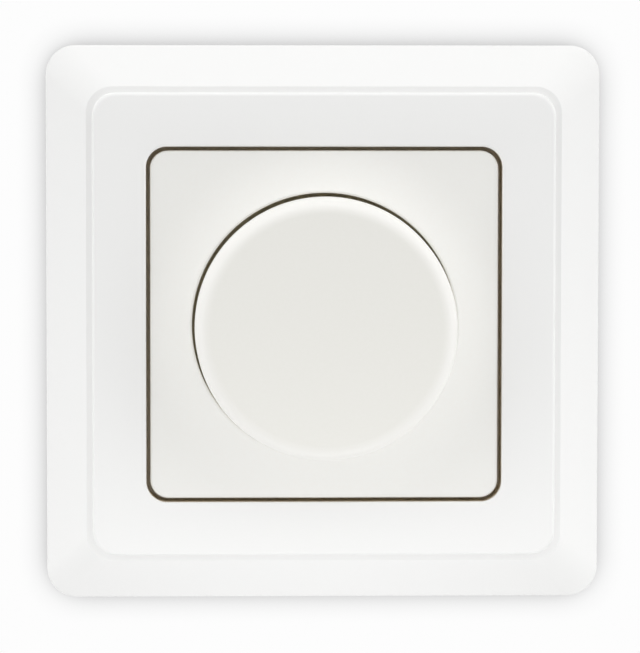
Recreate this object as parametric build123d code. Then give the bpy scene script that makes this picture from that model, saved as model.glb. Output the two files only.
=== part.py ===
from build123d import *
import math
import os

# Flush-mounted rotary dimmer for a round wall box, all sizes in millimetres.
# The wall is the plane Y = 0, +Y points into it, X is right and Z is up.
# A height is measured out from the wall towards the room, so it lies at Y = -height,
# and what sits in the wall box has negative heights.

# Cover frame
frame_side = 80.0
frame_corner = 4.3
frame_rim = 3.0
frame_wall = 2.0
field_side = 66.1
field_corner = 3.3
field_height = 9.5
field_step = 0.6
field_margin = 0.45
field_edge_round = 0.4
rim_edge_round = 0.7
opening_side = 50.9
opening_corner = 3.0
opening_edge_round = 0.3
collar_wall = 1.8
ledge_height = 5.0
ledge_thick = 1.5
ledge_width = 1.75
frame_rib = 1.2
frame_rib_place = 16.0

# Centre plate
plate_gap = 0.5
plate_corner = 2.6
plate_height = 9.05
plate_wall = 1.5
plate_edge_round = 0.35
plate_rib = 1.0
flare_radius = 27.0
flare_rise = 1.5
hollow_rise = 0.5
well_radius = 18.95
well_floor = 5.5
well_edge_round = 0.3

# Knob
knob_gap = 0.37
knob_top = 21.5
knob_draft = 0.1
knob_top_round = 2.05
knob_band_low = 14.6
knob_undercut = 0.47
knob_foot_gap = 2.1
knob_wall = 1.6
knob_crown = 2.0
knob_hub_radius = 4.5
knob_hub_gap = 2.0
knob_rib = 1.2
knob_rib_depth = 4.0
knob_rib_count = 6
knob_travel = 1.5

# Spindle, its threaded bush and the two nuts
spindle_radius = 2.0
spindle_flat = 1.5
spindle_fit = 0.05
spindle_end_gap = 1.1
spindle_foot_radius = 2.9
spindle_foot = 0.8
leaf_thick = 0.28
leaf_width = 1.3
leaf_gap = 0.08
bush_radius = 5.0
bush_length = 8.0
bush_flange_radius = 6.5
bush_flange = 0.5
bush_chamfer = 0.4
bush_fit = 0.1
nut_flats = 14.0
nut_thick = 2.0

# Potentiometer
pot_radius = 10.0
pot_wall = 0.8
pot_depth = 6.6
track_disc_thick = 1.2
track_disc_gap = 0.1
track_inner = 5.0
track_outer = 7.2
track_thick = 0.2
track_open_angle = 60.0
track_hole = 2.6
tongue_width = 9.8
tongue_gap = 0.3
rotor_radius = 7.5
rotor_thick = 1.2
rotor_hub_radius = 3.3
rotor_hub_length = 3.4
rotor_hub_lead = 0.8
rotor_gap = 0.3
wiper_width = 2.4
wiper_thick = 0.3
wiper_gap = 0.25
wiper_start_angle = 135.0
pin_width = 0.9
pin_thick = 0.5
pin_pitch = 3.4
pin_hold = 1.6

# Push switch behind the potentiometer
switch_side = 16.0
switch_depth = 12.0
switch_wall = 1.0
switch_face = 0.8
switch_corner = 1.0
foot_gap = 0.1
switch_hole_gap = 0.3
guide_gap = 0.15
guide_width = 3.0
plunger_side = 8.0
plunger_length = 6.0
plunger_pocket = 2.6
plunger_pocket_depth = 4.0
spring_wire = 0.45
spring_radius = 2.05
spring_turns = 5.0
spring_wire_sides = 6
spring_end_gap = 0.1
bridge_length = 12.4
bridge_width = 2.4
bridge_thick = 0.5
bridge_set = 1.0
contact_gap = 0.3
contact_thick = 0.6
contact_reach = 1.8
contact_fit = 0.1

# Support plate
support_gap = 2.5
support_corner = 6.0
support_thick = 1.5
box_screw_spacing = 60.0
box_slot_width = 4.2
box_slot_length = 8.0
level_slot_angle = 14.0
support_notch = 2.2

# Insert housing
housing_radius = 26.0
housing_flat = 21.0
housing_bottom = 23.5
housing_depth = 24.0
housing_wall = 1.8
housing_floor = 2.0
housing_edge = 1.5
vent_count = 5
vent_width = 1.4
vent_length = 15.0
vent_pitch = 3.0
vent_edge_gap = 5.0
boss_radius = 2.8
boss_out = 0.2
boss_depth = 12.0
screw_shank = 1.25
screw_fit = 0.1
screw_length = 9.5
screw_head_radius = 2.3
screw_head = 1.4
screw_head_edge = 0.4
cross_width = 0.7
cross_length = 2.8
cross_depth = 0.8

# Spreading claws
claw_sheet = 1.2
claw_roll = 1.2
claw_gap = 0.3
claw_width = 10.0
claw_middle = 6.5
claw_reach = 18.5
claw_journal = 1.2
claw_fit = 0.07
claw_lug_drop = 2.6
claw_lug_reach = 5.1
claw_screw_place = 3.4
claw_screw_radius = 1.5
claw_screw_head_radius = 2.8
claw_screw_head = 1.8
claw_screw_length = 16.0
claw_slot_play = 0.2
claw_slot_lead = 1.0
claw_tip_reach = 4.0
claw_teeth = 4
claw_tooth = 1.2
claw_swing = 18.0
claw_bend = 0.9
ear_thick = 1.4
ear_gap = 0.2
ear_wall = 1.0

# Circuit board and the parts on it
board_thick = 1.6
board_gap = 0.4
board_post_radius = 1.5
board_post_x = 15.0
board_post_z = 9.0
lead_radius = 0.35
triac_width = 8.0
triac_length = 8.6
triac_thick = 2.7
triac_gap = 1.2
triac_lead_pitch = 2.3
triac_lead_width = 0.6
triac_lead_gap = 1.0
pad_thick = 0.3
pad_border = 0.6
rivet_radius = 1.4
rivet_head_radius = 2.4
rivet_head = 0.7
choke_angle = 128.0
choke_gap = 1.4
choke_radius = 4.4
choke_length = 12.0
choke_flange = 1.2
choke_core_radius = 2.0
choke_winding_radius = 3.8
capacitor_gap = 2.0
capacitor_top_gap = 0.9
capacitor_width = 6.0
capacitor_length = 11.0
capacitor_height = 11.0
capacitor_corner = 0.6
timing_x = -0.8
timing_gap = 1.2
timing_width = 2.5
timing_length = 5.6
timing_height = 8.0
resistor_x = 8.6
resistor_drop = 5.2
resistor_pitch = 2.8
resistor_count = 3
resistor_radius = 1.1
resistor_length = 6.0
diac_x = -0.8
diac_gap = 0.6
diac_radius = 0.9
diac_length = 4.0
lead_span = 1.2
part_lift = 0.3
fuse_x = -15.0
fuse_z = -1.8
fuse_radius = 2.6
fuse_length = 20.0
fuse_cap = 5.0
fuse_glass_inset = 0.15
fuse_lift = 4.0
clip_thick = 0.4
clip_width = 4.0
clip_gap = 0.08
trimmer_x = 13.5
trimmer_z = -7.0
trimmer_side = 7.0
trimmer_height = 5.0
trimmer_disc_radius = 2.6
trimmer_disc = 1.2
trimmer_shaft_radius = 1.5
trimmer_shaft_gap = 1.0
trimmer_fit = 0.1
trimmer_slot = 0.6
trimmer_access = 1.9

# Terminals
terminal_count = 3
terminal_pitch = 7.6
cage_width = 6.4
cage_height = 7.8
cage_length = 9.0
cage_wall = 0.9
cage_gap = 0.3
tail_width = 2.4
tail_reach = 2.4
wire_entry = 2.1
terminal_screw_radius = 1.75
terminal_screw_fit = 0.1
terminal_head_radius = 2.6
terminal_head = 1.7
terminal_head_gap = 0.3
terminal_bite = 3.0
terminal_slot = 0.8
terminal_slot_depth = 0.7
block_wall = 1.1
block_end_wall = 1.2
block_gap = 0.15

# Heights that follow from the sizes above
groove_height = field_height - field_step
plate_side = opening_side - 2 * plate_gap
plate_half = plate_side / 2
collar_half = opening_side / 2 + collar_wall
floor_underside = well_floor - plate_wall
knob_radius = well_radius - knob_gap
skirt_radius = knob_radius - knob_undercut
knob_foot = well_floor + knob_foot_gap
knob_inner = skirt_radius - knob_wall
crown_underside = knob_top - knob_crown
hub_foot = bush_length + knob_hub_gap
spindle_top = crown_underside - spindle_end_gap
bore_radius = spindle_radius + spindle_fit
rotor_top = -pot_wall - bush_flange - rotor_gap
rotor_disc_top = rotor_top - rotor_hub_lead
rotor_disc_low = rotor_disc_top - rotor_thick
track_face = track_disc_thick - pot_depth
tongue_reach = pot_radius - pot_wall
switch_front = -pot_depth
switch_back = switch_front - switch_depth
foot_top = switch_front - switch_face - foot_gap
foot_low = foot_top - spindle_foot
plunger_top = foot_low - foot_gap
plunger_low = plunger_top - plunger_length
pocket_top = plunger_low + plunger_pocket_depth
bridge_top = plunger_top - bridge_set
bridge_low = bridge_top - bridge_thick
contact_top = bridge_low - knob_travel - contact_gap
board_front = switch_back
board_back = board_front - board_thick
housing_back = -housing_depth
housing_inside = housing_back + housing_floor
support_side = frame_side - 2 * (frame_wall + support_gap)
boss_x = housing_flat - boss_radius
boss_z = math.sqrt((housing_radius + boss_out) ** 2 - boss_x**2)
board_top = housing_radius - housing_wall - board_gap
triac_low = pot_radius + triac_gap
choke_reach = housing_radius - housing_wall - choke_gap - choke_radius
choke_x = choke_reach * math.cos(math.radians(choke_angle))
choke_z = choke_reach * math.sin(math.radians(choke_angle))
resistor_low = board_top - resistor_drop - (resistor_count - 1) * resistor_pitch
capacitor_x = housing_flat - housing_wall - capacitor_gap - capacitor_width / 2
capacitor_z = resistor_low - resistor_radius - capacitor_top_gap - capacitor_length / 2
triac_lead_end = triac_low + triac_length + triac_lead_gap
timing_z = triac_lead_end - triac_lead_width - timing_gap - timing_length / 2
diac_z = timing_z - timing_length / 2 - diac_gap - diac_radius
cage_low = housing_back + block_end_wall + cage_gap
cage_bottom = -(housing_bottom - housing_wall - cage_gap)
cage_top = cage_bottom + cage_height
block_half = (terminal_count - 1) * terminal_pitch / 2 + cage_width / 2 + cage_gap + block_wall
block_top = cage_top + cage_gap + block_wall
block_high = cage_low + cage_length + cage_gap + block_wall
board_low = block_top + board_gap
wire_z = cage_bottom + cage_height / 2
pivot_x = housing_flat + claw_gap + claw_roll
pivot_height = -claw_roll - 2 * ear_gap
claw_screw_x = pivot_x + claw_screw_place
claw_screw_end = support_thick - claw_screw_length
lug_top = pivot_height - claw_lug_drop + claw_sheet / 2

SECTION = Plane(origin=(0, 0, 0), x_dir=(1, 0, 0), z_dir=(0, 0, -1))


def slab(outline, low, high):
    """Outline drawn on the wall, filled from one height to another."""
    return extrude(Plane.XZ.offset(low) * outline, high - low)


def turned(*corners):
    """Solid turned about the knob axis from a closed outline of (radius, height) corners."""
    return revolve(SECTION * make_face(Polyline(*corners, close=True)), Axis.Y)


def block(x, z, low, high):
    """Box between two X, two Z and two heights."""
    outline = Pos((x[0] + x[1]) / 2, (z[0] + z[1]) / 2) * Rectangle(x[1] - x[0], z[1] - z[0])
    return slab(outline, low, high)


def disc(x, z, radius, low, high):
    """Round bar along the knob axis, centred at x and z."""
    return slab(Pos(x, z) * Circle(radius), low, high)


def square(side, corner):
    return RectangleRounded(side, side, corner)


def round_edges(solid, test, radius):
    """Round the edges whose middle point passes the test."""
    return fillet([edge for edge in solid.edges() if test(edge)], radius)


def at_height(edge, height):
    box = edge.bounding_box()
    return abs(box.min.Y + height) < 0.001 and abs(box.max.Y + height) < 0.001


def make_cover_frame():
    """Bevelled shell with a raised field, a collar round the opening and a ledge for the plate."""
    groove_side = field_side + 2 * field_margin
    rim = slab(square(frame_side, frame_corner), 0, frame_rim)
    low_edge = Plane.XZ.offset(frame_rim) * square(frame_side, frame_corner)
    top_edge = Plane.XZ.offset(groove_height) * square(groove_side, field_corner + field_margin)
    bevel = loft([low_edge, top_edge], ruled=True)
    field = slab(square(field_side, field_corner), groove_height, field_height)
    outer = rim + bevel + field
    outer = round_edges(outer, lambda edge: at_height(edge, field_height), field_edge_round)
    outer = round_edges(outer, lambda edge: at_height(edge, frame_rim), rim_edge_round)

    inner_side = frame_side - 2 * frame_wall
    inner_top = field_side - 2 * frame_wall
    inner_rim = frame_rim - frame_wall * 0.3
    inner_height = field_height - frame_wall
    inner_corner = max(frame_corner - frame_wall, 0.5)
    straight = slab(square(inner_side, inner_corner), 0, inner_rim)
    inner_low = Plane.XZ.offset(inner_rim) * square(inner_side, inner_corner)
    inner_high = Plane.XZ.offset(inner_height) * square(inner_top, max(field_corner - frame_wall, 0.5))
    cavity = straight + loft([inner_low, inner_high], ruled=True)

    shell = outer - cavity
    collar_outline = square(2 * collar_half, opening_corner + collar_wall)
    opening_outline = square(opening_side, opening_corner)
    ledge_side = opening_side - 2 * ledge_width
    ledge_outline = square(ledge_side, max(opening_corner - ledge_width, 0.5))
    ledge_low = ledge_height - ledge_thick
    collar = slab(collar_outline - opening_outline, ledge_low, inner_height + frame_wall / 2)
    ledge = slab(collar_outline - ledge_outline, ledge_low, ledge_height)

    ribs = Part()
    for side in (-1, 1):
        across = Pos(0, side * frame_rib_place) * Rectangle(inner_side, frame_rib)
        upright = Pos(side * frame_rib_place, 0) * Rectangle(frame_rib, inner_side)
        ribs += slab(across, support_thick, inner_height)
        ribs += slab(upright, support_thick, inner_height)
    ribs -= slab(square(2 * collar_half - collar_wall, opening_corner), 0, field_height)
    ribs = ribs & cavity

    frame = shell - slab(opening_outline, 0, field_height)
    frame = frame + collar + ledge + ribs
    opening_limit = opening_side / 2 + 0.01

    def round_opening(edge):
        box = edge.bounding_box()
        inside = max(abs(box.min.X), abs(box.max.X), abs(box.min.Z), abs(box.max.Z)) < opening_limit
        return inside and at_height(edge, field_height)

    return round_edges(frame, round_opening, opening_edge_round)


def make_plate_blank(out_radius):
    """Turned body under the flared face, from the well out past the plate's corners."""
    span = flare_radius - well_radius - well_edge_round
    bend = (span**2 + flare_rise**2) / (2 * flare_rise)
    middle = plate_height + bend - math.sqrt(bend**2 - (span / 2) ** 2)
    edge = (flare_radius, plate_height)
    rim = (well_radius + well_edge_round, plate_height + flare_rise)
    bore = (well_radius, rim[1] - well_edge_round)
    turn = well_edge_round * (1 - math.sqrt(0.5))
    flare = ThreePointArc(edge, (flare_radius - span / 2, middle), rim)
    lip = ThreePointArc(rim, (well_radius + turn, rim[1] - turn), bore)
    sides = Polyline(bore, (well_radius, ledge_height), (out_radius, ledge_height),
                     (out_radius, plate_height), edge)
    return revolve(SECTION * make_face(flare + lip + sides), Axis.Y)


def make_plate_hollow(out_radius):
    """Turned hollow under the face, coned up to the well so that the wall stays about even."""
    return turned(
        (well_radius + plate_wall, ledge_height),
        (out_radius, ledge_height),
        (out_radius, plate_height - plate_wall),
        (flare_radius - plate_wall, plate_height - plate_wall),
        (well_radius + plate_wall, plate_height - plate_wall + flare_rise * hollow_rise),
    )


def make_centre_plate():
    """Square moulded plate, flared up to a round well whose floor takes the threaded bush."""
    out_radius = plate_side
    face = make_plate_blank(out_radius)
    face = face & slab(square(plate_side, plate_corner), ledge_height, field_height + flare_rise)
    inner_corner = max(plate_corner - plate_wall, 0.5)
    hollow = make_plate_hollow(out_radius) & slab(square(plate_side - 2 * plate_wall, inner_corner), 0, field_height)
    well = turned(
        (bush_radius + bush_fit, floor_underside),
        (well_radius + plate_wall, floor_underside),
        (well_radius + plate_wall, plate_height - plate_wall),
        (well_radius, plate_height - plate_wall),
        (well_radius, well_floor),
        (bush_radius + bush_fit, well_floor),
    )
    ribs = Part()
    for angle in (45, 135):
        ribs += slab(Rot(0, 0, angle) * Rectangle(2 * out_radius, plate_rib), ledge_height, field_height)
    ribs = ribs & hollow
    plate = face - hollow + ribs + well

    def on_outer_edge(edge):
        box = edge.bounding_box()
        far = max(abs(box.min.X), abs(box.max.X), abs(box.min.Z), abs(box.max.Z))
        return far > plate_half - 0.001 and box.max.Y < 0.01 - plate_height

    return round_edges(plate, on_outer_edge, plate_edge_round)


def make_knob():
    """Wide hollow cap with a straight band, an undercut skirt, ribs and a hub for the spindle."""
    knob = turned(
        (0, knob_top),
        (knob_radius - knob_draft, knob_top),
        (knob_radius, knob_band_low),
        (skirt_radius, knob_band_low - knob_undercut),
        (skirt_radius, knob_foot),
        (knob_inner, knob_foot),
        (knob_inner, crown_underside),
        (0, crown_underside),
    )
    hub = disc(0, 0, knob_hub_radius, hub_foot, crown_underside + knob_crown / 2)
    ribs = Part()
    for number in range(knob_rib_count):
        bar = Rot(0, 0, number * 360 / knob_rib_count) * Pos(skirt_radius / 2, 0)
        ribs += slab(bar * Rectangle(skirt_radius - knob_wall / 2, knob_rib),
                     crown_underside - knob_rib_depth, crown_underside + knob_crown / 2)
    knob = knob + ribs + hub
    knob -= disc(0, 0, bore_radius, hub_foot, spindle_top + spindle_fit)
    knob = round_edges(knob, lambda edge: at_height(edge, knob_top), knob_top_round)
    return knob


def keyed(radius, flat):
    """Round section with a flat on its upper side."""
    return Circle(radius) - Pos(0, flat + radius) * Rectangle(2 * radius, 2 * radius)


def make_spindle():
    """Round spindle, flatted in the hub and in the rotor, with a foot behind the switch face."""
    spindle = disc(0, 0, spindle_radius, foot_top, spindle_top)
    above_flat = Pos(0, spindle_flat + spindle_radius) * Rectangle(2 * spindle_radius, 2 * spindle_radius)
    spindle -= slab(above_flat, hub_foot - leaf_thick, spindle_top)
    spindle -= slab(above_flat, foot_top + spindle_foot, rotor_top + knob_travel + rotor_gap)
    return spindle + disc(0, 0, spindle_foot_radius, foot_low, foot_top)


def make_knob_leaf():
    """Bent spring leaf between the spindle's flat and the hub's bore."""
    low = spindle_flat + leaf_gap
    width = (-leaf_width / 2, leaf_width / 2)
    blade = block(width, (low, low + leaf_thick), hub_foot - leaf_thick, spindle_top - leaf_gap)
    hook = block(width, (low, knob_hub_radius - leaf_gap), hub_foot - leaf_thick, hub_foot)
    return blade + hook


def make_bush():
    """Threaded bush with a flange under the potentiometer's face."""
    flange_top = -pot_wall
    return turned(
        (bore_radius, flange_top - bush_flange),
        (bush_flange_radius, flange_top - bush_flange),
        (bush_flange_radius, flange_top),
        (bush_radius, flange_top),
        (bush_radius, bush_length - bush_chamfer),
        (bush_radius - bush_chamfer, bush_length),
        (bore_radius, bush_length),
    )


def make_nut(low):
    """Flat hexagon nut whose outer corners are turned down on the front."""
    corner_radius = nut_flats / math.sqrt(3)
    nut = slab(RegularPolygon(corner_radius, 6), low, low + nut_thick)
    dome = turned(
        (0, low),
        (corner_radius, low),
        (corner_radius, low + nut_thick * 0.7),
        (nut_flats / 2, low + nut_thick),
        (0, low + nut_thick),
    )
    return (nut & dome) - disc(0, 0, bush_radius + spindle_fit, low, low + nut_thick)


def make_pot_case():
    """Drawn metal can, open to the back, with a notch for the tongue of the track disc."""
    case = turned(
        (bush_radius + spindle_fit, 0),
        (pot_radius, 0),
        (pot_radius, -pot_depth),
        (pot_radius - pot_wall, -pot_depth),
        (pot_radius - pot_wall, -pot_wall),
        (bush_radius + spindle_fit, -pot_wall),
    )
    half = tongue_width / 2 + tongue_gap
    return case - block((-half, half), (-2 * pot_radius, 0), -pot_depth, track_face + tongue_gap + pin_thick)


def make_track_disc():
    """Insulating disc that closes the can, with a tongue for the pins."""
    outline = Circle(pot_radius - pot_wall - track_disc_gap)
    outline += Pos(0, -tongue_reach / 2) * Rectangle(tongue_width, tongue_reach)
    outline -= Circle(track_hole)
    return slab(outline, -pot_depth, track_face)


def make_carbon_track():
    """Open ring of carbon on the disc, with its gap towards the tongue."""
    reach = 2 * track_outer
    half_angle = math.radians(track_open_angle / 2)
    gap = make_face(Polyline(
        (0, 0),
        (-reach * math.sin(half_angle), -reach * math.cos(half_angle)),
        (reach * math.sin(half_angle), -reach * math.cos(half_angle)),
        close=True,
    ))
    return slab(Circle(track_outer) - Circle(track_inner) - gap, track_face, track_face + track_thick)


def make_wiper_rotor():
    """Moulded rotor whose keyed bore rides on the spindle's flat."""
    bore = keyed(bore_radius, spindle_flat + spindle_fit)
    hub = slab(Circle(rotor_hub_radius) - bore, rotor_top - rotor_hub_length, rotor_top)
    plate = slab(Circle(rotor_radius) - bore, rotor_disc_low, rotor_disc_top)
    return hub + plate


def make_wiper_contact():
    """Leaf under the rotor with a foot over the carbon track."""
    middle = (track_inner + track_outer) / 2
    width = (-wiper_width / 2, wiper_width / 2)
    end = middle + wiper_thick
    leaf = block(width, (rotor_hub_radius + wiper_gap, end), rotor_disc_low - wiper_thick, rotor_disc_low)
    foot = block(width, (middle, end), track_face + track_thick + wiper_gap, rotor_disc_low)
    return (leaf + foot).rotate(Axis.Y, -wiper_start_angle)


def make_pot_pins():
    """Three flat pins from the tongue back to the board."""
    pins = Part()
    side = tongue_reach + pin_thick
    for place in (-1, 0, 1):
        x = place * pin_pitch
        width = (x - pin_width / 2, x + pin_width / 2)
        foot = block(width, (-side, pin_hold - tongue_reach), track_face, track_face + pin_thick)
        leg = block(width, (-side, -tongue_reach), board_front, track_face + pin_thick)
        pins += foot + leg
    return pins


def make_switch_case():
    """Moulded box behind the potentiometer that guides the plunger."""
    case = slab(square(switch_side, switch_corner), switch_back, switch_front)
    inside = switch_side - 2 * switch_wall
    case -= slab(Rectangle(inside, inside), switch_back + switch_wall, switch_front - switch_face)
    case -= disc(0, 0, spindle_radius + switch_hole_gap, switch_front - switch_face, switch_front)
    guide_z = (plunger_side / 2 + guide_gap, inside / 2)
    for z in (guide_z, (-guide_z[1], -guide_z[0])):
        case += block((-guide_width / 2, guide_width / 2), z, switch_back, foot_low)
    for side in (-1, 1):
        case -= contact_blade(side, contact_fit, switch_back, switch_back + switch_wall)
    return case


def contact_blade(side, grow, low, high):
    outer = bridge_length / 2 + contact_thick
    x = (outer - contact_thick - grow, outer + grow)
    if side < 0:
        x = (-x[1], -x[0])
    return block(x, (-bridge_width / 2 - grow, bridge_width / 2 + grow), low, high)


def make_fixed_contacts():
    """Two L-shaped contacts that the bridge joins when the knob is pushed."""
    contacts = Part()
    outer = bridge_length / 2 + contact_thick
    for side in (-1, 1):
        blade = contact_blade(side, 0, board_front, contact_top)
        x = sorted((side * (outer - contact_reach), side * outer))
        pad = block(x, (-bridge_width / 2, bridge_width / 2), contact_top - contact_thick, contact_top)
        contacts += blade + pad
    return contacts


def make_plunger():
    """Square slider with a pocket for the spring and a slot for the contact bridge."""
    plunger = slab(Rectangle(plunger_side, plunger_side), plunger_low, plunger_top)
    plunger -= disc(0, 0, plunger_pocket, plunger_low, pocket_top)
    half = bridge_width / 2
    return plunger - block((-plunger_side, plunger_side), (-half, half), bridge_low, bridge_top)


def make_contact_bridge():
    return slab(Rectangle(bridge_length, bridge_width), bridge_low, bridge_top)


def make_return_spring():
    """Coil spring between the pocket's end and the back of the switch case."""
    low = switch_back + switch_wall + spring_end_gap + spring_wire / 2
    high = pocket_top - spring_end_gap - spring_wire / 2
    path = Helix(pitch=(high - low) / spring_turns, height=high - low, radius=spring_radius)
    start = Plane(origin=path @ 0, z_dir=path % 0)
    coil = sweep(start * RegularPolygon(spring_wire / 2, spring_wire_sides), path=path)
    return Plane.XZ.offset(low) * coil


def slot_on_line(x, z, length, width, angle):
    return Pos(x, z) * Rot(0, 0, angle) * SlotOverall(length, width)


def make_support_plate():
    """Stamped metal plate with box screw slots, which also carries and cools the insert."""
    reach = box_screw_spacing / 2
    outline = square(support_side, support_corner)
    outline -= Circle(bush_radius + bush_fit)
    for side in (-1, 1):
        outline -= slot_on_line(side * reach, 0, box_slot_length, box_slot_width, 0)
        outline -= SlotArc(
            CenterArc((0, 0), reach, side * 90 - level_slot_angle, 2 * level_slot_angle),
            box_slot_width,
        )
        outline -= Pos(side * claw_screw_x, side * claw_middle) * Circle(claw_screw_radius + screw_fit)
        outline -= Pos(side * support_side / 2, 0) * Circle(support_notch)
        outline -= Pos(0, side * support_side / 2) * Circle(support_notch)
        for up in (-1, 1):
            outline -= Pos(side * boss_x, up * boss_z) * Circle(screw_shank + screw_fit)
    outline -= Pos(trimmer_x, trimmer_z) * Circle(trimmer_access)
    outline -= Pos(0, triac_low + triac_length / 2) * Circle(rivet_radius + screw_fit)
    return slab(outline, 0, support_thick)


def insert_outline(inset):
    """Round outline with a flat on each side for the claws and one below for the terminals."""
    radius = housing_radius - inset
    half = housing_flat - inset
    low = -(housing_bottom - inset)
    window = Pos(0, (radius + low) / 2) * Rectangle(2 * half, radius - low)
    return Circle(radius) & window


def terminal_places():
    middle = (terminal_count - 1) / 2
    return [(number - middle) * terminal_pitch for number in range(terminal_count)]


def make_ear(side, near):
    """One ear of a claw hinge, a cradle that is open to the front."""
    spread = claw_width / 2 + ear_gap
    z = side * claw_middle + near * spread
    z_span = sorted((z, z + near * ear_thick))
    end = pivot_x + claw_roll + claw_fit + ear_wall
    low = pivot_height - claw_roll - ear_wall
    x_span = sorted((side * (housing_flat - housing_wall / 2), side * end))
    ear = block(x_span, z_span, low, 0)
    hole = claw_roll + claw_fit
    groove_x = sorted((side * (pivot_x - hole), side * (pivot_x + hole)))
    ear -= block(groove_x, z_span, pivot_height, 0)
    bar = Plane(origin=(side * pivot_x, -pivot_height, z_span[0]), z_dir=(0, 0, 1)) * Circle(hole)
    return ear - extrude(bar, ear_thick)


def make_housing():
    """Moulded cup in the wall box, with screw bosses, claw ears, cooling slots and a notch for the terminals."""
    housing = slab(insert_outline(0), housing_back, 0)
    housing = chamfer([edge for edge in housing.edges() if at_height(edge, housing_back)], housing_edge)
    for side in (-1, 1):
        for up in (-1, 1):
            housing += disc(side * boss_x, up * boss_z, boss_radius, -boss_depth, 0)
            housing += make_ear(side, up)
    housing -= slab(insert_outline(housing_wall), housing_inside, 0)
    for side in (-1, 1):
        for up in (-1, 1):
            hole_depth = support_thick - screw_length - screw_fit
            housing -= disc(side * boss_x, up * boss_z, screw_shank + spindle_fit, hole_depth, 0)
        for z in (-board_post_z, board_post_z):
            housing += disc(side * board_post_x, z, board_post_radius, housing_inside, board_back)
    for number in range(vent_count):
        vent = Pos(0, housing_radius - vent_edge_gap - number * vent_pitch) * SlotOverall(vent_length, vent_width)
        housing -= slab(vent, housing_back, housing_inside)
    half = block_half + block_gap
    return housing - block((-half, half), (-housing_radius, block_top + block_gap),
                           housing_back, block_high + block_gap)


def terminal_middle():
    """Height of the terminal screws, half way along their cages."""
    return cage_low + cage_length / 2


def terminal_bar(x, radius, low, high):
    """Round bar along Z through the middle of a terminal."""
    foot = Plane(origin=(x, -terminal_middle(), low), z_dir=(0, 0, 1))
    return extrude(foot * Circle(radius), high - low)


def make_terminal_block():
    """Moulded block flush in a notch of the cup, with a cell for each cage."""
    blank = slab(insert_outline(0), housing_back, 0)
    blank = chamfer([edge for edge in blank.edges() if at_height(edge, housing_back)], housing_edge)
    body = blank & block((-block_half, block_half), (-housing_radius, block_top), housing_back, block_high)
    for x in terminal_places():
        half = cage_width / 2 + cage_gap
        body -= block((x - half, x + half), (cage_bottom - cage_gap, cage_top + cage_gap),
                      housing_back + block_end_wall, cage_low + cage_length + cage_gap)
        body -= disc(x, wire_z, wire_entry, housing_back, housing_back + block_end_wall)
        body -= terminal_bar(x, terminal_head_radius + terminal_head_gap, -housing_radius, cage_bottom)
        tail_half = tail_width / 2 + block_gap
        body -= block((x - tail_half, x + tail_half), (cage_top, block_top),
                      board_front - block_gap, board_front + cage_wall + block_gap)
    return body


def make_terminal_cages():
    """Square clamps open to the wire entries, each with a tail on the board."""
    cages = Part()
    for x in terminal_places():
        half = cage_width / 2
        high = cage_low + cage_length
        cage = block((x - half, x + half), (cage_bottom, cage_top), cage_low, high)
        cage -= block((x - half + cage_wall, x + half - cage_wall),
                      (cage_bottom + cage_wall, cage_top - cage_wall), cage_low, high)
        tail = block((x - tail_width / 2, x + tail_width / 2),
                     (cage_top - cage_wall, cage_top + tail_reach), board_front, board_front + cage_wall)
        hole = terminal_bar(x, terminal_screw_radius + terminal_screw_fit, cage_bottom, cage_bottom + cage_wall)
        cages += cage + tail - hole
    return cages


def make_terminal_screws():
    """Slotted screws in the wells on the underside."""
    screws = Part()
    head_top = cage_bottom - terminal_screw_fit
    head_low = head_top - terminal_head
    for x in terminal_places():
        head = terminal_bar(x, terminal_head_radius, head_low, head_top)
        shank = terminal_bar(x, terminal_screw_radius, head_top, cage_bottom + cage_wall + terminal_bite)
        slot_half = terminal_slot / 2
        reach = terminal_head_radius
        slot = block((x - reach, x + reach), (head_low, head_low + terminal_slot_depth),
                     terminal_middle() - slot_half, terminal_middle() + slot_half)
        screws += head + shank - slot
    return screws


def screw_head_on_plate(x, z, radius, height):
    """Head on the support plate whose upper edge is turned down."""
    top = support_thick + height
    return Pos(x, 0, z) * turned(
        (0, support_thick),
        (radius, support_thick),
        (radius, top - screw_head_edge),
        (radius - screw_head_edge, top),
        (0, top),
    )


def make_housing_screws():
    """Cross-head screws that hold the housing to the support plate."""
    screws = Part()
    top = support_thick + screw_head
    for side in (-1, 1):
        for up in (-1, 1):
            place = Pos(side * boss_x, up * boss_z)
            head = screw_head_on_plate(side * boss_x, up * boss_z, screw_head_radius, screw_head)
            shank = slab(place * Circle(screw_shank), support_thick - screw_length, support_thick)
            cross = Rectangle(cross_length, cross_width) + Rectangle(cross_width, cross_length)
            screws += head + shank - slab(place * cross, top - cross_depth, top)
    return screws


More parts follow.
